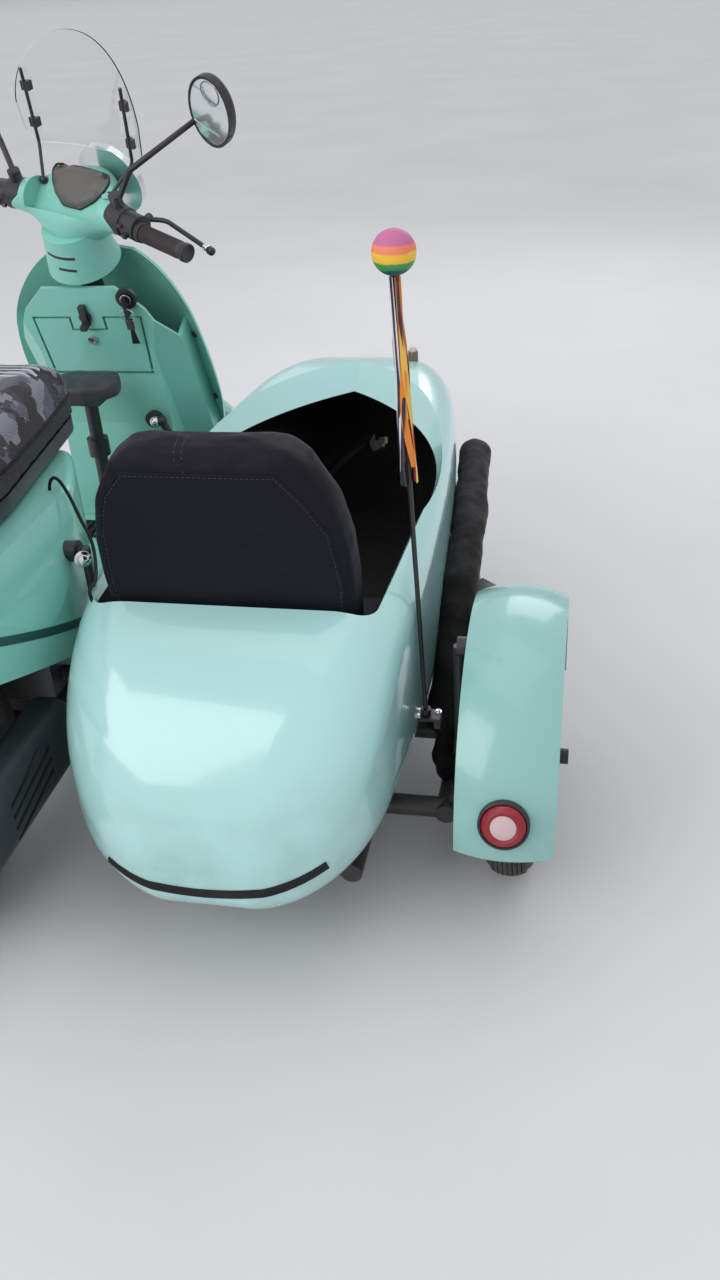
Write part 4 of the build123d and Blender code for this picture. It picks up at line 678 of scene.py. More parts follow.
def finish(name, group, shader=None, **inputs):
    """A material: a shared group feeds the shader, whose plain values are set on its own sockets."""
    plain = bpy.data.materials.get(name)
    if plain:
        plain.name = f"plain_{name}"
    material = bpy.data.materials.new(name)
    material.use_nodes = True
    tree = material.node_tree
    principled = tree.nodes["Principled BSDF"]
    node = tree.nodes.new("ShaderNodeGroup")
    node.node_tree = bpy.data.node_groups[group]
    for key, value in inputs.items():
        node.inputs[key].default_value = value if isinstance(value, float) else (*value[:3], 1)
    for source, target in (("Color", "Base Color"), ("Roughness", "Roughness"), ("Normal", "Normal")):
        tree.links.new(node.outputs[source], principled.inputs[target])
    for key, value in (shader or {}).items():
        principled.inputs[key].default_value = value
    return material


def coated(weight, roughness, **more):
    """Shader values of a clear coat, with any others."""
    return {"Coat Weight": weight, "Coat Roughness": roughness, **more}


def tub_finish(paint, lining):
    """The sidecar body's finish: paint outside and on the coaming, its tone a paler copy of the sidecar's
    mint as painted light, and dark lining inside.
    """
    material = finish("tub_paint", "sprayed_paint", coated(0.6, 0.06), Fresh=paint.tub,
                      Dull=tuple(value * 0.9 for value in paint.tub), Gloss=0.12)
    tree = Tree(material.node_tree)
    shader = material.node_tree.nodes["Principled BSDF"]
    normal = tree.node("ShaderNodeNewGeometry").outputs["True Normal"]
    out = tree.node("ShaderNodeVectorMath", {0: tree.place, 1: tuple(at(SIDECAR_X, 560, 380))},
                    operation="SUBTRACT").outputs[0]
    facing = tree.node("ShaderNodeVectorMath", {0: out, 1: normal}, operation="DOT_PRODUCT").outputs["Value"]
    inside = tree.times(tree.math("LESS_THAN", facing, 0.0), tree.math("LESS_THAN", tree.height(), COAMING))
    colour, rough = (shader.inputs[name].links[0].from_socket for name in ("Base Color", "Roughness"))
    material.node_tree.links.new(tree.mix(inside, colour, lining), shader.inputs["Base Color"])
    material.node_tree.links.new(tree.plus(rough, tree.times(inside, 0.55)), shader.inputs["Roughness"])


def banded_finish(name, middle, lowest, *bands):
    """Painted foam in level bands, from the lowest tone up; each later band starts at its height."""
    material = finish(name, "moulded_texture", Fresh=lowest, Sheen=0.55, Depth=0.3)
    tree = Tree(material.node_tree)
    level = tree.plus(tree.height(), tree.span(tree.noise(55, 3), 0.3, 0.7, -0.0012, 0.0012))
    colour = lowest
    for start, band in bands:
        edge = middle + start
        colour = tree.mix(tree.span(level, edge - 0.0012, edge + 0.0012), colour, band)
    material.node_tree.links.new(colour, material.node_tree.nodes["Principled BSDF"].inputs["Base Color"])


class SCOOTER_OT_finishes(Operator):
    """Makes the finishes and gives every CAD part its own"""
    bl_idname = "scooter.finishes"
    bl_label = "Finishes"

    def execute(self, context):
        paint, cloth = context.scene.scooter_paint, context.scene.scooter_upholstery
        for make in (sprayed_paint, pressed_grain, moulded_texture, worked_metal, aged_rubber, printed_weave,
                     lamp_lens, wiped_glass):
            make()
        self.painted(paint)
        self.covered(cloth)
        self.metals(paint)
        self.lenses(paint)
        special = {"sidecar_tub": "tub_paint", "inner_shield": "mint_plastic", "headset": "mint_plastic",
                   "glovebox_door": "mint_plastic", "child_saddle": "saddle_vinyl", "ribbons": "seat_cover",
                   "mudguard": "guard_paint", "levers": "black_steel"}
        for part in frame["record"]["subparts"]:
            node = bpy.data.objects[part["node"]]
            material = bpy.data.materials[special.get(part["node"], part["material_slot"])]
            if not node.material_slots:
                node.data.materials.append(material)
            for slot in node.material_slots:
                slot.material = material
        return {"FINISHED"}

    def painted(self, paint):
        """Paint and plastic."""
        mint = {"Fresh": paint.mint, "Dull": paint.mint_dull}
        finish("mint_paint", "sprayed_paint", coated(0.5, 0.08), **mint, Gloss=0.18)
        finish("mint_plastic", "sprayed_paint", coated(0.15, 0.2), **mint, Gloss=0.30)
        tub_finish(paint, srgb(20, 20, 22))
        # The mudguard: a darker copy of the sidecar's mint, painted shade
        finish("guard_paint", "sprayed_paint", coated(0.5, 0.08), Fresh=paint.guard,
               Dull=tuple(value * 0.92 for value in paint.guard), Gloss=0.2)
        # Name, fresh tone, scuffed tone, the group's other values
        for name, fresh, scuffed, values in (
            ("black_plastic", paint.plastic, srgb(84, 82, 82), {"Sheen": 0.42}),
            ("grey_plastic", paint.panel_grey, srgb(128, 124, 118), {}),
            ("plate", srgb(232, 232, 226), srgb(190, 188, 180), {"Sheen": 0.35, "Depth": 0.08}),
            ("signal_red", srgb(196, 36, 30), srgb(150, 50, 44), {}),
            ("thread_pale", srgb(92, 92, 100), srgb(70, 70, 76), {"Sheen": 0.8}),
            # A darker copy of the mint for the cowls' grooves: painted shade
            ("groove_green", srgb(34, 74, 68), srgb(58, 96, 90), {"Sheen": 0.4}),
        ):
            finish(name, "moulded_texture", Fresh=fresh, Scuffed=scuffed, **values)

    def covered(self, cloth):
        """Upholstery, rubber, the ball's foam and the ribbons."""
        matt = "Specular IOR Level"
        finish("black_vinyl", "pressed_grain", {matt: 0.12}, Skin=cloth.vinyl, Worn=srgb(30, 31, 42),
               Grain=620.0, Depth=0.35)
        finish("foam_black", "pressed_grain", {matt: 0.12}, Skin=srgb(22, 21, 22), Worn=srgb(50, 47, 47),
               Grain=420.0, Depth=0.8)
        finish("saddle_vinyl", "pressed_grain", Skin=srgb(50, 50, 56), Worn=srgb(78, 78, 84), Grain=520.0,
               Depth=0.3)
        finish("seat_cover", "printed_weave", {"Sheen Weight": 0.1}, Dark=cloth.cover_dark,
               Middle=cloth.cover_mid, Light=cloth.cover_light, Blotch=15.0)
        finish("rubber", "aged_rubber", {matt: 0.25}, Rubber=srgb(24, 24, 26), Dust=srgb(88, 84, 82),
               Bloom=0.15)
        finish("tyre", "aged_rubber", Rubber=srgb(42, 42, 45), Dust=srgb(108, 102, 96), Bloom=0.35)
        finish("grip_rubber", "aged_rubber", Rubber=srgb(58, 54, 55), Dust=srgb(92, 86, 84), Bloom=0.3)
        banded_finish("ball_stripes", at(0, 0, BALL_H).z, srgb(38, 92, 92), (-0.0200, srgb(66, 150, 84)),
                      (-0.0100, srgb(238, 190, 58)), (0.0030, srgb(232, 130, 92)),
                      (0.0130, srgb(190, 104, 150)))
        for name, *shade in (("white", 222, 222, 230), ("navy", 30, 30, 48), ("orange", 222, 128, 34),
                             ("yellow", 232, 186, 72), ("red", 196, 44, 40), ("pink", 228, 116, 122)):
            shade = srgb(*shade)
            finish(f"ribbon_{name}", "moulded_texture", {"Sheen Weight": 0.3}, Fresh=shade, Scuffed=shade,
                   Sheen=0.5, Depth=0.1)

    def metals(self, paint):
        """Painted and bright metal: bright and tarnished tones, polish, pits and the shader's own values."""
        bright = {"Metallic": 1.0}
        for name, clean, tarnish, polish, pits, shader in (
            ("black_steel", paint.frame_black, srgb(52, 50, 49), 0.34, 0.12, coated(0.2, 0.25)),
            ("alloy", srgb(176, 178, 180), srgb(128, 128, 126), 0.34, 0.25, bright),
            ("chrome", srgb(222, 223, 225), srgb(190, 190, 190), 0.05, 0.03, bright),
            ("bolt_steel", srgb(196, 196, 194), srgb(140, 136, 128), 0.22, 0.1, bright),
            ("steel_grey", srgb(56, 61, 68), srgb(40, 43, 48), 0.4, 0.2, {"Metallic": 0.2}),
            ("bronze", srgb(120, 108, 92), srgb(84, 76, 66), 0.28, 0.15, {"Metallic": 0.8}),
        ):
            finish(name, "worked_metal", shader, Bright=clean, Tarnish=tarnish, Polish=polish, Pits=pits)

    def lenses(self, paint):
        """Lamps, screen and mirrors."""
        clear = "Transmission Weight"
        finish("red_lens", "lamp_lens", coated(0.15, 0.05, **{clear: 0.15}, IOR=1.49), Lens=paint.lens_red,
               Deep=srgb(110, 6, 22), Ribs=240.0)
        finish("amber_lens", "lamp_lens", coated(0.4, 0.05, **{clear: 0.25}, IOR=1.49), Lens=paint.lens_amber,
               Deep=srgb(190, 80, 8), Ribs=240.0)
        finish("clear_lens", "lamp_lens", {clear: 0.2, "IOR": 1.49}, Lens=srgb(236, 212, 214),
               Deep=srgb(206, 168, 172), Ribs=420.0)
        finish("clear_screen", "wiped_glass", {clear: 1.0, "IOR": 1.3}, Clear=srgb(250, 252, 252),
               Smear=srgb(244, 248, 248), Polish=0.0)
        finish("mirror", "wiped_glass", {"Metallic": 0.75}, Clear=srgb(226, 229, 232),
               Smear=srgb(214, 217, 221), Polish=0.08)


class SCOOTER_OT_stage(Operator):
    """Sets the camera, the floor and the light"""
    bl_idname = "scooter.stage"
    bl_label = "Stage"

    def execute(self, context):
        choices = context.scene.scooter_stage
        self.camera(context, choices.focal)
        self.floor(choices.floor)
        self.room(context, choices.sky)
        # Name, place, width, power, colour
        lamps = (
            ("key", (-1.9, -3.0, 2.6), 2.6, 40.0 * choices.key, (1.0, 0.99, 0.97)),
            ("window", (0.9, 3.8, 2.8), 2.2, 30.0, (0.94, 0.97, 1.0)),
            ("ceiling", (0.4, -0.2, 4.2), 3.0, 14.0, (1.0, 1.0, 1.0)),
        )
        for name, place, across, power, colour in lamps:
            data = bpy.data.lights.new(name, "AREA")
            data.shape = "SQUARE"
            data.size = across
            data.energy = power
            data.color = colour
            lamp = linked(name, data)
            lamp.location = place
            lamp.rotation_euler = (Vector((0, 0, 0.5)) - Vector(place)).to_track_quat("-Z", "Y").to_euler()
        context.scene.view_settings.view_transform = "Standard"
        return {"FINISHED"}

    def camera(self, context, focal):
        """The photograph's camera, from its place, heading, slope and roll."""
        yaw, pitch, roll = math.radians(12.87), math.radians(31.79), math.radians(-3.86)
        flat = math.cos(pitch)
        forward = Vector((-math.sin(yaw) * flat, math.cos(yaw) * flat, -math.sin(pitch)))
        level = Vector((math.cos(yaw), math.sin(yaw), 0))
        upright = level.cross(forward)
        right = level * math.cos(roll) + upright * math.sin(roll)
        up = upright * math.cos(roll) - level * math.sin(roll)
        lens = bpy.data.cameras.new("camera")
        lens.sensor_width = 36
        lens.sensor_fit = "HORIZONTAL"
        lens.lens = focal
        camera = linked("camera", lens)
        camera.matrix_world = basis(at(1074.6, -1313.2, 1431.7), right, up, -forward)
        context.scene.camera = camera

    def floor(self, colour):
        """A wide floor that rises as a curtain far behind the scooter."""
        far, rise, curve = 70, 20, 8
        floor = primitive("plane", "floor", size=160)
        edit(floor)
        pick_edges(floor, lambda a, b: a.y > far and b.y > far)
        bpy.ops.mesh.extrude_region_move(TRANSFORM_OT_translate={"value": (0, 0, rise)})
        pick_edges(floor, lambda a, b: a.y > far and b.y > far and a.z < 0.1 and b.z < 0.1)
        bpy.ops.mesh.bevel(offset=curve, segments=12)
        done(floor, 60)
        material = bpy.data.materials.new("pale_floor")
        material.use_nodes = True
        tree = Tree(material.node_tree)
        shader = material.node_tree.nodes["Principled BSDF"]
        cloud = tree.span(tree.noise(0.9, 6, 0.6), 0.3, 0.7)
        mixed = tree.mix(cloud, colour, tuple(value * 0.93 for value in colour))
        material.node_tree.links.new(mixed, shader.inputs["Base Color"])
        shader.inputs["Roughness"].default_value = 0.75
        shader.inputs["Specular IOR Level"].default_value = 0.25
        floor.data.materials.append(material)

    def room(self, context, strength):
        """An even room: one tone as light, a darker one where it is seen or shows through glass."""
        world = bpy.data.worlds.new("room")
        context.scene.world = world
        world.use_nodes = True
        nodes, links = world.node_tree.nodes, world.node_tree.links
        nodes.clear()
        blend = nodes.new("ShaderNodeMixShader")
        for index, colour, power in ((1, (0.97, 0.985, 1.0, 1), strength), (2, (0.80, 0.81, 0.83, 1), 1.0)):
            light = nodes.new("ShaderNodeBackground")
            light.inputs["Color"].default_value = colour
            light.inputs["Strength"].default_value = power
            links.new(light.outputs[0], blend.inputs[index])
        rays = nodes.new("ShaderNodeLightPath")
        either = nodes.new("ShaderNodeMath")
        either.operation = "MAXIMUM"
        links.new(rays.outputs["Is Camera Ray"], either.inputs[0])
        links.new(rays.outputs["Is Transmission Ray"], either.inputs[1])
        links.new(either.outputs[0], blend.inputs[0])
        out = nodes.new("ShaderNodeOutputWorld")
        links.new(blend.outputs[0], out.inputs["Surface"])


# Soft pieces


def copy_of(node, name):
    """A merged copy of a CAD node's mesh."""
    piece = copied(bpy.data.objects[node], name)
    piece.parent = None
    piece.hide_render = False
    for key in list(piece.keys()):
        del piece[key]
    edit(piece, everything=True)
    bpy.ops.mesh.remove_doubles(threshold=0.00005)
    bpy.ops.object.mode_set(mode="OBJECT")
    return piece


def stuffed(context, node, name, voxel, inset, cap, pressure, flat_below=None, rounds=12):
    """A padded copy of a CAD solid: remeshed, drawn in, then blown up as cloth by no more than the cap."""
    piece = copy_of(node, name)
    apply_modifier(piece, "REMESH", mode="VOXEL", voxel_size=voxel, use_smooth_shade=True)
    edit(piece, everything=True)
    bpy.ops.transform.shrink_fatten(value=-inset)
    bpy.ops.object.mode_set(mode="OBJECT")
    apply_modifier(piece, "SMOOTH", factor=0.6, iterations=rounds)
    start = [vert.co.copy() for vert in piece.data.vertices]
    cloth = piece.modifiers.new("Cloth", "CLOTH")
    cloth.settings.use_pressure = True
    cloth.settings.uniform_pressure_force = pressure
    cloth.settings.effector_weights.gravity = 0
    cloth.settings.tension_stiffness = 15
    cloth.settings.bending_stiffness = 0.6
    if flat_below is not None:
        group = piece.vertex_groups.new(name="resting")
        group.add([vert.index for vert in piece.data.vertices if vert.co.z < flat_below], 1.0, "REPLACE")
        cloth.settings.vertex_group_mass = "resting"
    for step in range(1, 21):
        context.scene.frame_set(step)
    shaped = piece.evaluated_get(context.evaluated_depsgraph_get())
    ends = [vert.co.copy() for vert in shaped.data.vertices]
    piece.modifiers.remove(cloth)
    context.scene.frame_set(1)
    for vert, first, last in zip(piece.data.vertices, start, ends):
        move = last - first
        if move.length > cap:
            move = move.normalized() * cap
        vert.co = first + move
    piece.vertex_groups.clear()
    apply_modifier(piece, "SMOOTH", factor=0.5, iterations=4)
    piece.data.materials.clear()
    return piece


def upholster(piece, node, material, body="chassis"):
    """Smooths a stuffed piece and dresses it in place of its CAD solid."""
    apply_modifier(piece, "SUBSURF", levels=1, render_levels=1)
    dress(piece, material, body, instead=node)


def press_line(piece, first, second, width, depth):
    """Draws a sewn line into a cushion: points near the line sink along their normals."""
    data, run = piece.data, second - first
    normals = [vert.normal.copy() for vert in data.vertices]
    for vert, normal in zip(data.vertices, normals):
        share = max(0.0, min(1.0, (vert.co - first).dot(run) / run.length_squared))
        nearest = (vert.co - first - run * share).length
        if nearest < width:
            fall = 1 - nearest / width
            vert.co -= normal * depth * fall * fall * (3 - 2 * fall)
    data.update()


class SCOOTER_OT_seat(Operator):
    """Stuffs the rider's seat and covers it"""
    bl_idname = "scooter.seat"
    bl_label = "Rider's seat"

    def execute(self, context):
        choices = context.scene.scooter_upholstery
        low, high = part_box("seat_cushion")
        seat = stuffed(context, "seat_cushion", "seat_pad", choices.voxel, 0.006, 0.009, choices.pressure,
                       low.z + 0.008)
        middle = (low + high) / 2
        half = (high - low) / 2
        # The cushion falls away at both sides, at its nose and, a little, at its back
        for vert in seat.data.vertices:
            across = (vert.co.x - middle.x) / half.x
            along = (vert.co.y - middle.y) / half.y
            fall = 0.020 * across ** 4 + 0.030 * max(0.0, along) ** 5 + 0.012 * max(0.0, -along) ** 6
            vert.co.z -= fall * max(0.0, (vert.co.z - low.z) / (high.z - low.z))
        seat.data.update()
        self.hem(seat, middle)
        upholster(seat, "seat_cushion", "seat_cover", "seat")
        return {"FINISHED"}

    def hem(self, seat, middle):
        """The cover's corded hem round the cushion."""
        tree, spots = tree_of(seat), []
        for i in range(180):
            turn = math.tau * i / 180
            out = Vector((math.cos(turn), math.sin(turn), 0))
            start = Vector((middle.x, middle.y, SEAT_HEM)) + out * 0.8
            spots.append(hit(tree, start, -out, must="the seat's hem"))
        places, normals = zip(*spots)
        hem = band_along("seat_hem", places, normals, 0.0055, 0.0022, cyclic=True)
        dress(hem, "black_vinyl", "seat")


class SCOOTER_OT_sidecar_cushions(Operator):
    """Stuffs the sidecar's seat and backrest, with their sewn lines"""
    bl_idname = "scooter.sidecar_cushions"
    bl_label = "Sidecar cushions"

    def execute(self, context):
        choices = context.scene.scooter_upholstery
        low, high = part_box("sidecar_seat")
        seat = stuffed(context, "sidecar_seat", "sidecar_seat_pad", choices.voxel, 0.005, 0.010,
                       choices.pressure, low.z + 0.008)
        # Two sewn lines across the seat, at these shares of its depth
        for share in (0.33, 0.66):
            y = low.y + (high.y - low.y) * share
            press_line(seat, Vector((low.x, y, high.z)), Vector((high.x, y, high.z)), 0.03, 0.008)
        upholster(seat, "sidecar_seat", "black_vinyl")
        back = stuffed(context, "sidecar_backrest", "sidecar_back_pad", choices.voxel, 0.003, 0.006,
                       choices.pressure * 0.6, rounds=5)
        upholster(back, "sidecar_backrest", "black_vinyl")
        return {"FINISHED"}


class SCOOTER_OT_child_saddle(Operator):
    """Stuffs the child's saddle"""
    bl_idname = "scooter.child_saddle"
    bl_label = "Child's saddle"

    def execute(self, context):
        pressure = context.scene.scooter_upholstery.pressure
        saddle = stuffed(context, "child_saddle", "child_saddle_pad", 0.004, 0.003, 0.005, pressure)
        upholster(saddle, "child_saddle", "saddle_vinyl")
        return {"FINISHED"}


class SCOOTER_OT_side_bar(Operator):
    """Wraps the bar along the sidecar's right side in foam"""
    bl_idname = "scooter.side_bar"
    bl_label = "Padded side bar"

    def execute(self, context):
        bar = stuffed(context, "side_bar", "side_bar_foam", 0.005, -0.0085, 0.003, 1.0, rounds=6)
        lumps = bpy.data.textures.new("foam_lumps", "CLOUDS")
        lumps.noise_scale = 0.055
        apply_modifier(bar, "DISPLACE", texture=lumps, texture_coords="LOCAL", strength=0.012, mid_level=0.5)
        upholster(bar, "side_bar", "foam_black")
        return {"FINISHED"}


class SCOOTER_OT_cable(Operator):
    """Lays the lamp cable across to the sidecar"""
    bl_idname = "scooter.cable"
    bl_label = "Lamp cable"

    def execute(self, context):
        # In millimetres, from under the rider's seat to the sidecar's body
        route = [
            (150, 350, 655.6), (153, 349, 673), (170, 346, 684), (192, 336, 656), (214, 318, 614),
            (242, 292, 588), (261, 250, 557), (276, 204, 552), (287, 166, 568), (293, 144, 568),
            (300.4, 139, 550.4),
        ]
        cable = line_through("lamp_cable", [at(*place) for place in route], 0.003, 16, 6)
        dress(cable, "rubber", "chassis", instead="cable")
        return {"FINISHED"}


def wheel_axis(name):
    """A wheel's axis and centre, from its joint."""
    joints = {joint["name"]: joint for joint in frame["record"]["behaviour"]["joints"]}
    joint = joints[f"{name}_wheel_spin"]
    return Vector(joint["axis"]), Vector(joint["pos_m"])


class SCOOTER_OT_tyres(Operator):
    """Models the three tyres with their tread"""
    bl_idname = "scooter.tyres"
    bl_label = "Tyres"

    def execute(self, context):
        choices = context.scene.scooter_tyres
        # Radius, width and rim in metres; the tread stays a little inside the CAD tyre
        for name, radius, width, rim in (("front", 0.2282, 0.107, 0.152), ("rear", 0.2352, 0.120, 0.152),
                                         ("sidecar", 0.2142, 0.092, 0.127)):
            tyre = self.model(f"{name}_tyre_tread", radius, width, rim, choices)
            axis, centre = wheel_axis(name)
            up = Vector((0, 0, 1)) - axis * axis.z
            up.normalize()
            place = basis(centre, axis, up.cross(axis), up)
            dress(tyre, "tyre", f"{name}_wheel", place, f"{name}_tyre")
        return {"FINISHED"}

    def model(self, name, radius, width, rim, choices):
        """One tyre about the X axis: a section spun round, shoulder lines, and blocks raised on the crown."""
        groove = choices.groove
        half, wall = width / 2, (radius - rim) / 2
        tyre = primitive("circle", name, vertices=36, radius=1, rotation=(math.pi / 2, 0, 0))
        for vert in tyre.data.vertices:
            across, upward = vert.co.x, vert.co.z
            pull = 1.0 if upward > -0.15 else 1 - 0.34 * min(1, (-0.15 - upward) / 0.7)
            rise = math.copysign(abs(upward) ** 0.9, upward) * (wall - groove / 2 - 0.001)
            vert.co = (across * (half - 0.001) * pull, 0, rim + wall + 0.001 + rise - groove / 2)
        edit(tyre)
        bpy.ops.mesh.select_mode(type="EDGE")
        bpy.ops.mesh.select_all(action="SELECT")
        bpy.ops.mesh.spin(steps=choices.blocks * 2, angle=math.tau, center=(0, 0, 0), axis=(1, 0, 0))
        bpy.ops.mesh.select_all(action="SELECT")
        bpy.ops.mesh.remove_doubles(threshold=0.00002)
        bpy.ops.mesh.normals_make_consistent(inside=False)
        crown = radius * 0.93

        def reach(place):
            return math.hypot(place.y, place.z)

        step = math.pi / choices.blocks
        for low, high, turn in ((-0.12, 0.12, step), (0.12, 0.5, step * 0.4), (-0.5, -0.12, step * 0.4)):
            pick_points(tyre, lambda co: reach(co) > crown and low <= co.x / half < high)
            bpy.ops.transform.rotate(value=turn, orient_axis="X", orient_type="GLOBAL",
                                     center_override=(0, 0, 0))
        pick(tyre, lambda place, normal: reach(place) > crown + 0.001 and abs(place.x) < half * 0.86)
        bpy.ops.mesh.inset(thickness=choices.groove_width * 0.6, depth=groove, use_individual=True,
                           use_even_offset=True)
        for side in (-1, 1):
            pick(tyre, lambda place, normal: place.x * side > half * 0.6
                 and rim + wall * 0.55 < reach(place) < rim + wall)
            bpy.ops.mesh.inset(thickness=0.0012, depth=0.0008, use_even_offset=True)
        return done(tyre, 28)


# Fittings and trim


def stepped(name, radius, height, steps, sides=40, bevel=0.0006):
    """A drum whose outer end is stepped: each step insets the face and then moves it."""
    piece = drum_start(name, radius, height, sides)
    edit(piece)
    pick(piece, lambda place, normal: normal.z > 0.9 and place.z > height * 0.9)
    for thickness, rise in steps:
        bpy.ops.mesh.inset(thickness=thickness)
        bpy.ops.transform.translate(value=(0, 0, rise))
    done(piece)
    return bevel_all(piece, bevel)


def domed(name, radius, centre, cut, segments=32, rings=16):
    """The part of a ball above a level cut."""
    piece = ball_start(name, radius, centre, segments, rings)
    edit(piece, everything=True)
    bpy.ops.mesh.bisect(plane_co=(0, 0, cut), plane_no=(0, 0, 1), clear_inner=True, use_fill=True)
    return done(piece)


def bolt_master(name, size):
    """A bolt head on its washer, with Z pointing away from the part."""
    steps = ((size * 0.16, size * 0.10), (size * 0.30, -size * 0.08))
    head = stepped(name, size, size * 0.75, steps, 6, size * 0.06)
    plate = stepped(f"{name}_washer", size * 1.45, size * 0.36, ((size * 0.1, size * 0.03),), 24, size * 0.04)
    put(head, Matrix.Translation((0, 0, size * 0.05)))
    put(plate, Matrix.Translation((0, 0, -size * 0.15)))
    return joined(name, head, plate)


def strip_on(name, tree, starts, ways, width, height):
    """A band laid on a surface; ends that miss the surface are left out."""
    places, normals = hits(tree, starts, ways)
    if len(places) < 3:
        raise RuntimeError(f"{name} found no surface")
    return band_along(name, places, normals, width, height)


def edge_line(points, steps):
    """Even points along a broken line of vectors."""
    lengths = [(b - a).length for a, b in zip(points, points[1:])]
    whole = sum(lengths)
    places = []
    for i in range(steps + 1):
        left = whole * i / steps
        for (a, b), length in zip(zip(points, points[1:]), lengths):
            if left <= length or length == lengths[-1] and b == points[-1]:
                places.append(a + (b - a) * min(1.0, left / length))
                break
            left -= length
    return places


def outline_of(*corners):
    """Corners given in millimetres on a plane, as vectors."""
    return [Vector((x, y, 0)) / 1000 for x, y in corners]


class SCOOTER_OT_flag(Operator):
    """Models the striped ball on the pole and the ribbons under it"""
    bl_idname = "scooter.flag"
    bl_label = "Pole ball and ribbons"

    def execute(self, context):
        foot, top = at(830, 231, 306), at(806, 230, 1052)
        up = (top - foot).normalized()
        ball = ball_start("pole_ball_foam", 0.0312, segments=48, rings=30)
        sunk(ball, lambda place, normal: normal.z > 0.985, (0.0012, -0.0004), angle=60)
        dress(ball, "ball_stripes", "chassis", frame_along(at(806, 230, BALL_H), up))
        collar = stepped("pole_ball_collar", 0.0066, 0.012, ((0.0014, 0.002),), 24, 0.0008)
        dress(collar, "rubber", "chassis", frame_along(top - up * 0.010, up))
        longest = context.scene.scooter_trim.ribbon
        # Colour, side of the pole in degrees, width, place in the wave, share of the longest
        strips = (
            ("white", 214, 0.0115, 0.6, 0.99), ("navy", 262, 0.0125, 1.3, 1.0),
            ("orange", 312, 0.0100, 2.1, 0.90), ("yellow", 344, 0.0100, 3.4, 0.99),
            ("red", 20, 0.0105, 4.6, 1.0), ("pink", 120, 0.0100, 5.5, 0.9),
        )
        for name, angle, width, phase, share in strips:
            length = longest * share
            start, turn = top - up * 0.002, math.radians(angle)
            ribbon = self.strip(f"ribbon_{name}", start, up, turn, width, length, phase)
            dress(ribbon, f"ribbon_{name}", "chassis", instead="ribbons")
        return {"FINISHED"}

    def strip(self, name, start, up, angle, width, length, phase):
        """A narrow ribbon that hangs from under the ball and turns a little as it falls."""
        ribbon = primitive("grid", name, x_subdivisions=3, y_subdivisions=60, size=1)
        for vert in ribbon.data.vertices:
            across, down = vert.co.x, 0.5 - vert.co.y
            loose = min(1.0, down * 3)
            sway = 0.45 * math.sin(4.1 * down + phase) + 0.2 * math.sin(9.7 * down + 2 * phase)
            turn = angle + loose * sway
            out = Vector((math.cos(turn), math.sin(turn), 0))
            side = Vector((-math.sin(turn), math.cos(turn), 0))
            reach = 0.0058 + 0.0062 * loose * down + 0.0012 * loose * math.sin(11 * down + phase)
            curl = 0.0015 * (4 * across * across) * math.sin(7 * down + phase)
            vert.co = start - up * (length * 0.99 * down) + out * (reach + curl) + side * across * width
        apply_modifier(ribbon, "SOLIDIFY", thickness=0.0006, offset=0)
        return shaded(ribbon, 60)


class SCOOTER_OT_sidecar_lamps(Operator):
    """Models the mudguard's round tail lamp and the marker on the nose"""
    bl_idname = "scooter.sidecar_lamps"
    bl_label = "Sidecar lamps"

    def execute(self, context):
        guard, centre = 300, 215
        slope = math.asin((guard - centre) / guard)
        out = Vector((0, -math.cos(slope), math.sin(slope)))
        seat = frame_along(at(985, 256, centre) + out * 0.2905, out)
        rim = stepped("tail_lamp_rim", 0.0398, 0.0165, ((0.004, 0.0015), (0.0022, -0.007)), 64, 0.0012)
        waves = ((0.005, 0.0050), (0.006, 0.0025), (0.002, -0.002))
        ring = stepped("tail_lamp_ring", 0.0345, 0.018, waves, 64, 0.0016)
        disc = stepped("tail_lamp_disc", 0.0205, 0.0235, ((0.005, 0.0018), (0.007, 0.0010)), 48, 0.0010)
        body = stepped("nose_lamp_body", 0.0118, 0.040, ((0.0012, 0.002),), 32, 0.001)
        cap = domed("nose_lamp_cap", 0.0105, (0, 0, 0), -0.002)
        for piece, material, place in (
            (rim, "black_plastic", seat), (ring, "red_lens", seat), (disc, "clear_lens", seat),
            (body, "bronze", Matrix.Translation(at(665, 1250, 581))),
            (cap, "clear_lens", Matrix.Translation(at(665, 1250, 622))),
        ):
            dress(piece, material, "chassis", place, "sidecar_lamps")
        return {"FINISHED"}


class SCOOTER_OT_body_strips(Operator):
    """Lays the strip round the sidecar's foot, and dark green bands of painted shade along the grooves of the
    cowls
    """
    bl_idname = "scooter.body_strips"
    bl_label = "Body strips"

    def execute(self, context):
        trim = context.scene.scooter_trim
        starts = []
        for i in range(73):
            x = 372 + 352 * i / 72
            share = (x - 548) / 176
            starts.append(at(x, -600, 212 + 34 * share * share + 9 * share))
        ahead = [Vector((0, 1, 0))] * len(starts)
        strip = strip_on("tub_foot_strip", surface_of("sidecar_tub"), starts, ahead, trim.foot_strip, 0.003)
        dress(strip, "rubber", "chassis")
        # Along each cowl's groove, a raised dark green band that stands for the groove's shade: painted shade
        for side, node in ((1, "cowl_right"), (-1, "cowl_left")):
            starts = []
            for i in range(81):
                y = 420 - i * 8.2
                starts.append(at(side * 420, y, 550 - 0.455 * (y - 15) + 0.00006 * (y - 15) * (y - 15)))
            inward = [Vector((-side, 0, 0))] * len(starts)
            strip = strip_on(f"{node}_strip", surface_of(node), starts, inward, trim.cowl_strip, 0.0012)
            dress(strip, "groove_green", "chassis")
        return {"FINISHED"}


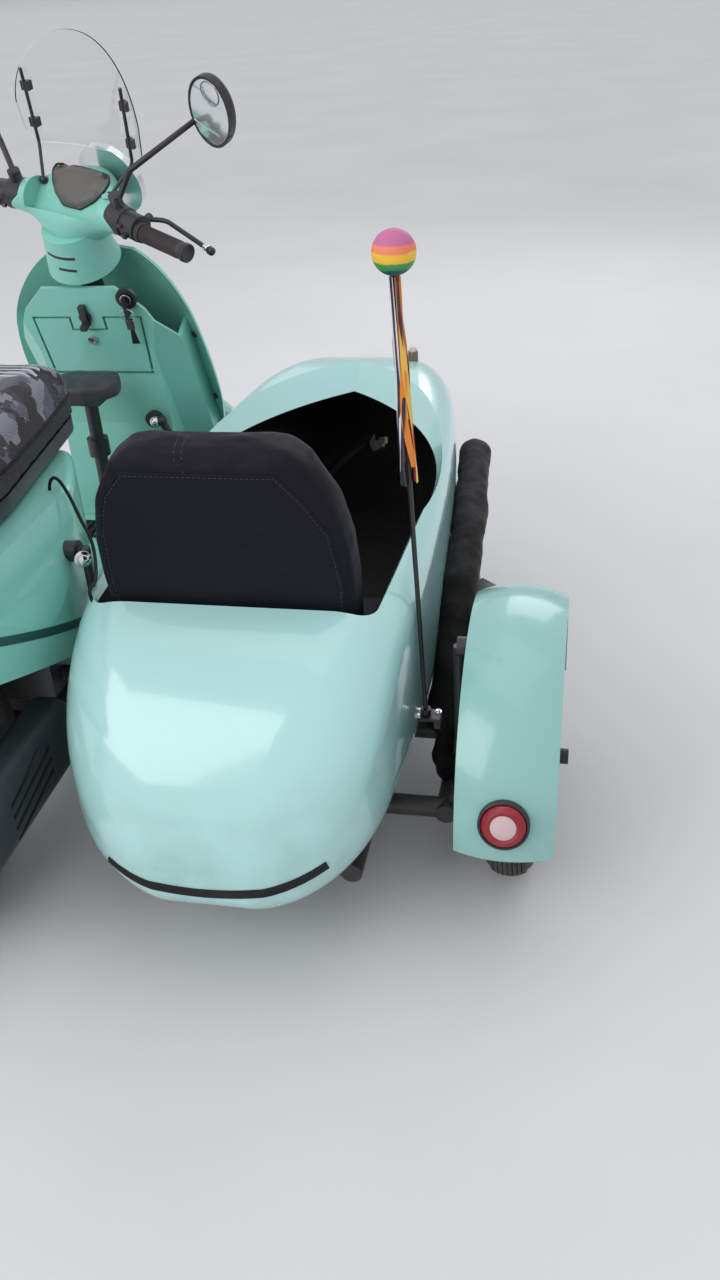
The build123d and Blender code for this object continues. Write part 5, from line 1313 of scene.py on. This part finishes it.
class SCOOTER_OT_bolts(Operator):
    """Places the bolts, nuts and washers of the frame, wheels and brackets"""
    bl_idname = "scooter.bolts"
    bl_label = "Bolts and nuts"

    def execute(self, context):
        down, left, ahead, right = (0, 0, -1), (-1, 0, 0), (0, 1, 0), (1, 0, 0)
        case = ((60, 210), (60, 300), (140, 320), (220, 215), (150, 210), (-20, 330), (250, 320))
        # Name, head's radius, material, CAD node, way of the rays, their starts in millimetres
        groups = (
            ("rail_bolts", 0.0070, "bolt_steel", "sidecar_frame", down,
             [(x, y, 148) for x in (405, 669) for y in (426, 1120)]),
            ("outrigger_bolts", 0.0070, "bolt_steel", "sidecar_frame", left,
             [(1100, y, 131) for y in (200, 320, 420, 560)]),
            ("pole_bracket_bolts", 0.0046, "chrome", "pole", down,
             [(819, 223, 400), (850, 239, 400), (819, 239, 400)]),
            ("step_bolts", 0.0058, "bolt_steel", "step_plate", down,
             [(862, 598, 500), (870, 742, 500), (912, 690, 500)]),
            ("side_bar_bolts", 0.0075, "bolt_steel", "side_bar", left, [(1100, 598, 386), (1100, 330, 250)]),
            ("case_bolts", 0.0056, "alloy", "engine_block", right, [(-600, y, z) for y, z in case]),
            ("number_plate_screws", 0.0050, "chrome", "plate_holder", ahead,
             [(-75, -900, 500), (75, -900, 500)]),
        )
        for name, head, material, node, way, places in groups:
            spots = zip(*hits(surface_of(node), [at(*place) for place in places], [way] * len(places)))
            seats = [frame_along(place, normal) for place, normal in spots]
            if not seats:
                raise RuntimeError(f"no bolt found a seat on {node}")
            dress(spread(bolt_master(f"{name}_master", head), name, seats), material, "chassis")
        for name, ring, rim in (("front", 0.046, 0.118), ("rear", 0.046, 0.118), ("sidecar", 0.042, 0.094)):
            self.wheel_nuts(name, ring, rim)
        self.strut_ends()
        washer = stepped("axle_washer", 0.0205, 0.003, ((0.002, 0.0006),), 40, 0.0004)
        cap = stepped("axle_cap", 0.0136, 0.0148, ((0.0015, 0.0006), (0.003, -0.0016)), 40, 0.0010)
        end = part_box("wheel_arm")[1].x
        for piece, material, back in ((washer, "bolt_steel", 0.0178), (cap, "black_plastic", 0.0156)):
            place = frame_along(Vector((end - back, *at(0, 256, 215)[1:])), right)
            dress(piece, material, "chassis", place)
        return {"FINISHED"}

    def strut_ends(self):
        """The bright ball of the front strut's joint and the nut and washer of the rear one."""
        ball = ball_start("strut_ball", 0.0125, segments=40, rings=24)
        dress(ball, "chrome", "chassis", Matrix.Translation(at(106, 970, 545)))
        washer = stepped("strut_washer", 0.0150, 0.0030, ((0.0012, 0.0004),), 40, 0.0005)
        nut = stepped("strut_nut", 0.0112, 0.0120, ((0.0020, 0.0012), (0.0030, 0.0020)), 6, 0.0008)
        for piece in (washer, nut):
            dress(piece, "chrome", "chassis", frame_along(at(232, 262, 567), (0.55, -0.82, 0.12)))

    def wheel_nuts(self, name, ring, rim):
        """Nuts round a hub and a valve at the rim, on the side the axis points to."""
        axis, centre = wheel_axis(name)
        tree = surface_of(f"{name}_rim")
        across = axis.cross(Vector((0, 0, 1))).normalized()
        up = across.cross(axis)
        turns = [math.radians(72 * i + 18) for i in range(5)]
        spokes = [(across * math.cos(turn) + up * math.sin(turn)) * ring for turn in turns] + [across * rim]
        *nuts, valve_spot = [hit(tree, centre + spoke + axis * 0.2, -axis) for spoke in spokes]
        # The nuts stand along the axle, whatever the rim's slope is there
        seats = [frame_along(spot[0], axis) for spot in nuts if spot]
        if seats:
            nuts = spread(bolt_master(f"{name}_nut_master", 0.0085), f"{name}_wheel_nuts", seats)
            dress(nuts, "bolt_steel", f"{name}_wheel")
        if valve_spot:
            steps = ((0.0008, 0.001), (0.0006, 0.006), (0.0005, 0.001))
            valve = stepped(f"{name}_valve", 0.0036, 0.020, steps, 16, 0.0004)
            dress(valve, "rubber", f"{name}_wheel", frame_along(valve_spot[0] - axis * 0.002, axis))


class SCOOTER_OT_panel_fittings(Operator):
    """Models the ignition lock with its key, the lid's lock, the plugs and the instrument's rim"""
    bl_idname = "scooter.panel_fittings"
    bl_label = "Panel fittings"

    def execute(self, context):
        panel = leaned(at(0, 980, 650), math.radians(16.39))
        self.lid_lock(panel)
        self.ignition(panel)
        way = Vector((-0.1, 0.4, 0.0))
        starts = [at(*place) - way for place in ((199, 1057, 721), (206, 1120, 548))]
        places, normals = hits(surface_of("leg_shield"), starts, [way.normalized()] * 2)
        if places:
            plug = stepped("plug_master", 0.0075, 0.004, ((0.0022, 0.0010), (0.0030, -0.0014)), 24, 0.0007)
            seats = [frame_along(place, normal) for place, normal in zip(places, normals)]
            dress(spread(plug, "shield_plugs", seats), "black_plastic", "chassis")
        self.instrument(STEER @ pitched(Vector((0, 0.070, 1.146)), math.radians(34)))
        return {"FINISHED"}

    def instrument(self, dial):
        """A grey cover that follows the headset's top, with a dark rim round it."""
        points = 72
        corners = outline_of((-38, 34), (38, 34), (68, 29), (74, 16), (66, -6), (50, -28), (22, -49),
                             (-22, -49), (-50, -28), (-66, -6), (-74, 16), (-68, 29))
        cover = primitive("circle", "instrument_cover", vertices=points, radius=0.06)
        for vert, place in zip(cover.data.vertices, edge_line(corners + corners[:1], points)[:-1]):
            vert.co = place
        edit(cover)
        bpy.ops.mesh.select_mode(type="EDGE")
        bpy.ops.mesh.select_all(action="SELECT")
        for share in (0.88, 0.86, 0.84, 0.80, 0.75, 0.66, 0.5):
            bpy.ops.mesh.extrude_region_move(TRANSFORM_OT_translate={"value": (0, 0, 0)})
            bpy.ops.transform.resize(value=(share, share, 1), center_override=(0, -0.006, 0))
        bpy.ops.mesh.edge_face_add()
        done(cover, 50, recalculate=True)
        tree = surface_of("headset", "instrument_panel")
        up = dial.col[2].xyz.normalized()
        for vert in cover.data.vertices:
            spot = hit(tree, dial @ (vert.co + Vector((0, 0, 0.12))), -up)
            vert.co = (spot[0] if spot else dial @ vert.co) + up * 0.0012
        rim = [vert.co.copy() for vert in cover.data.vertices[:points]]
        apply_modifier(cover, "SMOOTH", factor=0.5, iterations=3)
        outward = 1 if cover.data.polygons[0].normal.dot(up) > 0 else -1
        apply_modifier(cover, "SOLIDIFY", thickness=0.0022, offset=outward)
        dress(shaded(cover, 50), "grey_plastic", "steering")
        rim = band_along("instrument_rim", rim, [up] * points, 0.0042, 0.0030, cyclic=True)
        dress(rim, "black_plastic", "steering")

    def lid_lock(self, panel):
        barrel = stepped("lid_lock_ring", 0.0105, 0.0035, ((0.0022, 0.0), (0.0006, -0.0022)), 40, 0.0006)
        core = stepped("lid_lock_core", 0.0072, 0.0036, ((0.0022, -0.0005),), 32, 0.0004)
        slot = block_start("lid_lock_slot", (-0.0009, -0.0042, 0.0), (0.0009, 0.0042, 0.0040))
        bevel_all(slot, 0.0002)
        place = panel @ Matrix.Translation((0.0, 0.095, 0.0035))
        for piece, material in ((barrel, "chrome"), (core, "bolt_steel"), (slot, "black_plastic")):
            dress(piece, material, "glovebox_lid", place)

    def ignition(self, panel):
        """The lock's barrel, the key in it, its ring, fob and tag."""
        place = panel @ Matrix.Translation((0.108, 0.186, 0.012))
        barrel = stepped("ignition_barrel", 0.0125, 0.006, ((0.0020, 0.0006), (0.0026, -0.0016)), 40, 0.0006)
        dress(barrel, "bolt_steel", "chassis", panel @ Matrix.Translation((0.108, 0.198, 0.008)))
        turns = [math.tau * i / 12 for i in range(12)]
        loop = [Vector((0.0155 * math.cos(turn), 0.0155 * math.sin(turn) - 0.018, 0.012)) for turn in turns]
        dress(tube_along("key_ring", loop, 0.0012, 6, 4, cyclic=True), "chrome", "chassis", place)
        fob = block_start("key_fob", (-0.0085, -0.052, 0.008), (0.0085, -0.026, 0.014))
        sunk(fob, lambda centre, normal: normal.z > 0.9, (0.002, 0.001))
        dress(bevel_all(fob, 0.0024, 4), "black_plastic", "chassis", place)
        tag = block_start("key_tag", (-0.0030, -0.088, 0.009), (0.0045, -0.050, 0.0115))
        edit(tag)
        pick(tag, lambda centre, normal: normal.y < -0.9)
        bpy.ops.transform.resize(value=(2.4, 1, 1))
        done(tag)
        dress(bevel_all(tag, 0.0009, 3), "rubber", "chassis", place)


class SCOOTER_OT_bar_fittings(Operator):
    """Models the grips, lever tips, switch buttons, blind-spot mirrors and the headlamp's rim"""
    bl_idname = "scooter.bar_fittings"
    bl_label = "Handlebar fittings"

    def execute(self, context):
        for side, name in ((1, "right"), (-1, "left")):
            self.grip(side, name)
            self.blind_spot(side, name)
            self.buttons(side, name)
            self.sleeve(side, name)
        self.headlamp()
        slots = []
        tree = surface_of("headset")
        for number, (low, high, lift) in enumerate(((-0.026, 0.039, 1.064), (0.0, 0.038, 1.038))):
            starts = []
            for i in range(21):
                starts.append(STEER @ Vector((low + (high - low) * i / 20, -0.2, lift - 0.00001 * i * i)))
            slots.append(strip_on(f"headset_slot_{number}", tree, starts, [STEER_AHEAD] * 21, 0.0055, 0.0008))
        dress(joined("headset_slots", *slots), "black_plastic", "steering")
        spot = hit(tree, STEER @ Vector((0.102, 0.038, 1.3)), -STEER.col[2].xyz.normalized())
        if spot:
            plug = stepped("headset_plug", 0.0085, 0.0032, ((0.0022, 0.0008), (0.0026, -0.0012)), 32, 0.0006)
            oval = frame_along(*spot) @ Matrix.Scale(1.35, 4, (1, 0, 0))
            dress(plug, "mint_plastic", "steering", oval)
        return {"FINISHED"}

    def grip(self, side, name):
        """A rubber grip with a ring at its root and long ribs, and the bar's end weight."""
        start, stop = self.grip_ends(side)
        axis = (stop - start).normalized()
        length = (stop - start).length
        ribs = 96

        def round_wall(normal):
            return abs(normal.z) < 0.2

        grip = drum_start(f"grip_rubber_{name}", 0.0166, length, sides=ribs // 2)
        edit(grip)
        pick(grip, lambda place, normal: round_wall(normal))
        bpy.ops.mesh.subdivide(number_cuts=9)
        pick(grip, lambda place, normal: round_wall(normal) and 0.10 < place.z / length < 0.90
             and int((math.atan2(place.y, place.x) + math.pi) / math.tau * ribs) % 2 == 0)
        bpy.ops.mesh.inset(thickness=0.0003, depth=0.0010, use_individual=False)
        pick(grip, lambda place, normal: round_wall(normal) and place.z / length < 0.09)
        bpy.ops.mesh.inset(thickness=0.0004, depth=0.0030)
        done(grip)
        dress(grip, "grip_rubber", "steering", frame_along(start, axis), "grips")
        weight = stepped(f"bar_end_{name}", 0.0186, 0.0115, ((0.003, 0.0004), (0.004, -0.002)), 40, 0.0012)
        seat = frame_along(stop - axis * 0.002, axis)
        dress(weight, "black_plastic", "steering", seat, "grips")

    def sleeve(self, side, name):
        """The switch housing's inner cover, and the bright tip of the lever."""
        inner, outer = steer_at(side * 116, 26.2, BAR_H), steer_at(side * 194, 9, BAR_H)
        cover = drum_start(f"switch_cover_{name}", 0.0325, 0.040, sides=48, top=0.0300)
        sunk(cover, lambda place, normal: abs(normal.z) > 0.9, (0.0045, 0.0012))
        bevel_all(cover, 0.0030, 3)
        dress(cover, "black_plastic", "steering", frame_along(inner, outer - inner))
        knee, end = steer_at(side * 214, 64, BAR_H - 14), steer_at(side * 339, 26, BAR_H - 23)
        along = (end - knee).normalized()
        tip = stepped(f"lever_tip_{name}", 0.0068, 0.010, ((0.0016, 0.0016), (0.0018, 0.0008)), 28, 0.0014)
        dress(tip, "chrome", "steering", frame_along(end - along * 0.012, along))

    def grip_ends(self, side):
        """Where the CAD grip starts and ends, from its own points in the steering's frame."""
        back = STEER.inverted()
        points = [back @ vert.co for vert in frame["nodes"]["grips"].data.vertices]
        points = [point for point in points if point.x * side > 0]
        near, far = min(abs(point.x) for point in points), max(abs(point.x) for point in points)
        first = [point for point in points if abs(point.x) < near + 0.012]
        last = [point for point in points if abs(point.x) > far - 0.008]
        start = sum(first, Vector()) / len(first)
        stop = sum(last, Vector()) / len(last)
        along = (stop - start).normalized()
        start -= along * ((abs(start.x) - near) / abs(along.x) - 0.001)
        stop += along * ((far - abs(stop.x)) / abs(along.x) - 0.012)
        return STEER @ start, STEER @ stop

    def blind_spot(self, side, name):
        """A small round mirror that bulges from the upper corner of the glass."""
        tree = tree_of(bpy.data.objects["mirror_glasses_set"])
        spot = hit(tree, steer_at(side * 343, -56, 1358), STEER_AHEAD)
        if spot is None:
            return
        seat = frame_along(*spot, hint=STEER.col[2].xyz) @ Matrix.Translation((0, 0, -0.0006))
        steps = ((0.0012, 0.0004), (0.0006, -0.0010))
        ring = stepped(f"blind_spot_ring_{name}", 0.0235, 0.0018, steps, 48, 0.0003)
        glass = domed(f"blind_spot_glass_{name}", 0.090, (0, 0, -0.0864), 0.0008, 60, 80)
        dress(ring, "alloy", "steering", seat)
        dress(glass, "mirror", "steering", seat)

    def buttons(self, side, name):
        """Raised switch blocks on the rider's side of a switch housing."""
        tree = surface_of("switch_housings")
        # Name, place across and along the steering in millimetres, size in metres, material
        shapes = (
            ("dip", 156, 1138, (0.016, 0.008, 0.005), "black_plastic"),
            ("turn", 170, 1124, (0.012, 0.010, 0.008), "black_plastic"),
            ("horn", 158, 1116, (0.009, 0.009, 0.005), "signal_red" if side > 0 else "grey_plastic"),
        )
        for label, x, along, (wide, tall, deep), material in shapes:
            spot = hit(tree, steer_at(side * x, -200, along), STEER_AHEAD)
            if spot is None:
                continue
            low, high = (-wide / 2, -tall / 2, -0.001), (wide / 2, tall / 2, deep)
            button = block_start(f"switch_{label}_{name}", low, high)
            sunk(button, lambda place, normal: normal.z > 0.9, (0.0014, 0.0006), (0.0008, -0.0006))
            dress(bevel_all(button, 0.0008, 3), material, "steering", frame_along(*spot))

    def headlamp(self):
        """The chrome rim's inner step."""
        start = STEER @ Vector((0, 0.1563, 1.096)) + STEER_AHEAD * 0.2
        place, normal = hit(surface_of("headlamp"), start, -STEER_AHEAD, must="the headlamp's rim")
        bezel = stepped("headlamp_bezel", 0.0735, 0.0030, ((0.0030, 0.0005), (0.0024, -0.0022)), 72, 0.0006)
        seat = frame_along(place - STEER_AHEAD * 0.0105, STEER_AHEAD, hint=STEER.col[2].xyz)
        dress(bezel, "chrome", "steering", seat)


class SCOOTER_OT_mirrors(Operator):
    """Sets the mirror heads a little more upright than the plain CAD shells"""
    bl_idname = "scooter.mirrors"
    bl_label = "Mirrors"

    def execute(self, context):
        lean = math.radians(17)
        back = STEER.inverted()
        for node, material in (("mirrors", "black_plastic"), ("mirror_glasses", "mirror")):
            piece = copy_of(node, f"{node}_set")
            for vert in piece.data.vertices:
                place = back @ vert.co
                side = 1 if place.x > 0 else -1
                centre = Vector((side * 0.335, 0.144, 1.326))
                away = place - centre
                if math.hypot(away.x, away.z) < 0.085 and abs(away.y) < 0.04:
                    turned = Matrix.Rotation(side * lean, 3, "Y") @ away * 0.9
                    vert.co = STEER @ (centre + turned + Vector((side * -0.005, 0, -0.008)))
            piece.data.update()
            dress(shaded(piece, 30), material, "steering", instead=node)
        return {"FINISHED"}


class SCOOTER_OT_stitching(Operator):
    """Sews the piping, the stitches and the pleat of the backrest"""
    bl_idname = "scooter.stitching"
    bl_label = "Piping and stitches"

    def execute(self, context):
        plane = leaned(at(SIDECAR_X, 161.2, 286), math.radians(7))
        tree = tree_of(bpy.data.objects["sidecar_back_pad"])
        outline = outline_of((-176, 52), (-190, 330), (-184, 420), (-166, 480), (-130, 522), (108, 522),
                             (146, 476), (177, 425), (190, 330), (176, 52))
        starts = [plane @ (place + Vector((0, 0, 0.3))) for place in edge_line(outline, 150)]
        places, normals = hits(tree, starts, [-plane.col[2].xyz.normalized()] * len(starts))
        piping = band_along("backrest_piping", places, normals, 0.0042, 0.0016)
        dress(piping, "black_vinyl", "chassis")
        self.stitches("backrest_stitches", places, normals, 0.0042)
        for number, offset in enumerate((-0.042, -0.030)):
            starts = [plane @ Vector((offset, 0.760, 0.008 - 0.060 * i / 11)) for i in range(12)]
            places, normals = hits(tree, starts, [-plane.col[1].xyz.normalized()] * len(starts))
            normals = [normal if normal.z > 0 else -normal for normal in normals]
            if len(places) > 4:
                self.stitches(f"backrest_pleat_{number}", places, normals, 0.0)
        return {"FINISHED"}

    def stitches(self, name, places, normals, aside):
        """Short pale threads beside a seam, each half sunk in the vinyl."""
        master = block_start(f"{name}_master", (-0.0005, -0.0021, -0.0003), (0.0005, 0.0021, 0.0005))
        edit(master)
        pick(master, lambda place, normal: abs(normal.y) > 0.9)
        bpy.ops.transform.resize(value=(0.5, 1, 0.5))
        done(master)
        seats = []
        for first, second, normal in zip(places, places[1:], normals):
            along = (second - first).normalized()
            side = along.cross(normal).normalized()
            seats.append(basis(first + side * aside, side, along, normal))
        dress(spread(master, name, seats), "thread_pale", "chassis")


class SCOOTER_PT_outfit(Panel):
    """Lists the steps that dress the outfit"""
    bl_label = "Scooter with sidecar"
    bl_idname = "SCOOTER_PT_outfit"
    bl_space_type = "VIEW_3D"
    bl_region_type = "UI"
    bl_category = "Scooter"

    def draw(self, context):
        column = self.layout.column()
        for step in STEPS:
            column.operator(step.bl_idname)


CHOICES = (
    ("scooter_paint", PaintChoices),
    ("scooter_upholstery", UpholsteryChoices),
    ("scooter_tyres", TyreChoices),
    ("scooter_trim", TrimChoices),
    ("scooter_stage", StageChoices),
)
STEPS = (
    SCOOTER_OT_finishes,
    SCOOTER_OT_stage,
    SCOOTER_OT_cable,
    SCOOTER_OT_seat,
    SCOOTER_OT_sidecar_cushions,
    SCOOTER_OT_child_saddle,
    SCOOTER_OT_side_bar,
    SCOOTER_OT_tyres,
    SCOOTER_OT_flag,
    SCOOTER_OT_sidecar_lamps,
    SCOOTER_OT_body_strips,
    SCOOTER_OT_bolts,
    SCOOTER_OT_panel_fittings,
    SCOOTER_OT_mirrors,
    SCOOTER_OT_bar_fittings,
    SCOOTER_OT_stitching,
)


def register():
    for name, choices in CHOICES:
        bpy.utils.register_class(choices)
        setattr(bpy.types.Scene, name, PointerProperty(type=choices))
    for step in STEPS:
        bpy.utils.register_class(step)
    bpy.utils.register_class(SCOOTER_PT_outfit)


def unregister():
    bpy.utils.unregister_class(SCOOTER_PT_outfit)
    for step in reversed(STEPS):
        bpy.utils.unregister_class(step)
    for name, choices in reversed(CHOICES):
        delattr(bpy.types.Scene, name)
        bpy.utils.unregister_class(choices)


def main():
    register()
    bpy.ops.scooter.finishes()
    bpy.ops.scooter.stage()
    bpy.ops.scooter.cable()
    bpy.ops.scooter.seat()
    bpy.ops.scooter.sidecar_cushions()
    bpy.ops.scooter.child_saddle()
    bpy.ops.scooter.side_bar()
    bpy.ops.scooter.tyres()
    bpy.ops.scooter.flag()
    bpy.ops.scooter.sidecar_lamps()
    bpy.ops.scooter.body_strips()
    bpy.ops.scooter.bolts()
    bpy.ops.scooter.panel_fittings()
    bpy.ops.scooter.mirrors()
    bpy.ops.scooter.bar_fittings()
    bpy.ops.scooter.stitching()


if __name__ == "__main__":
    main()
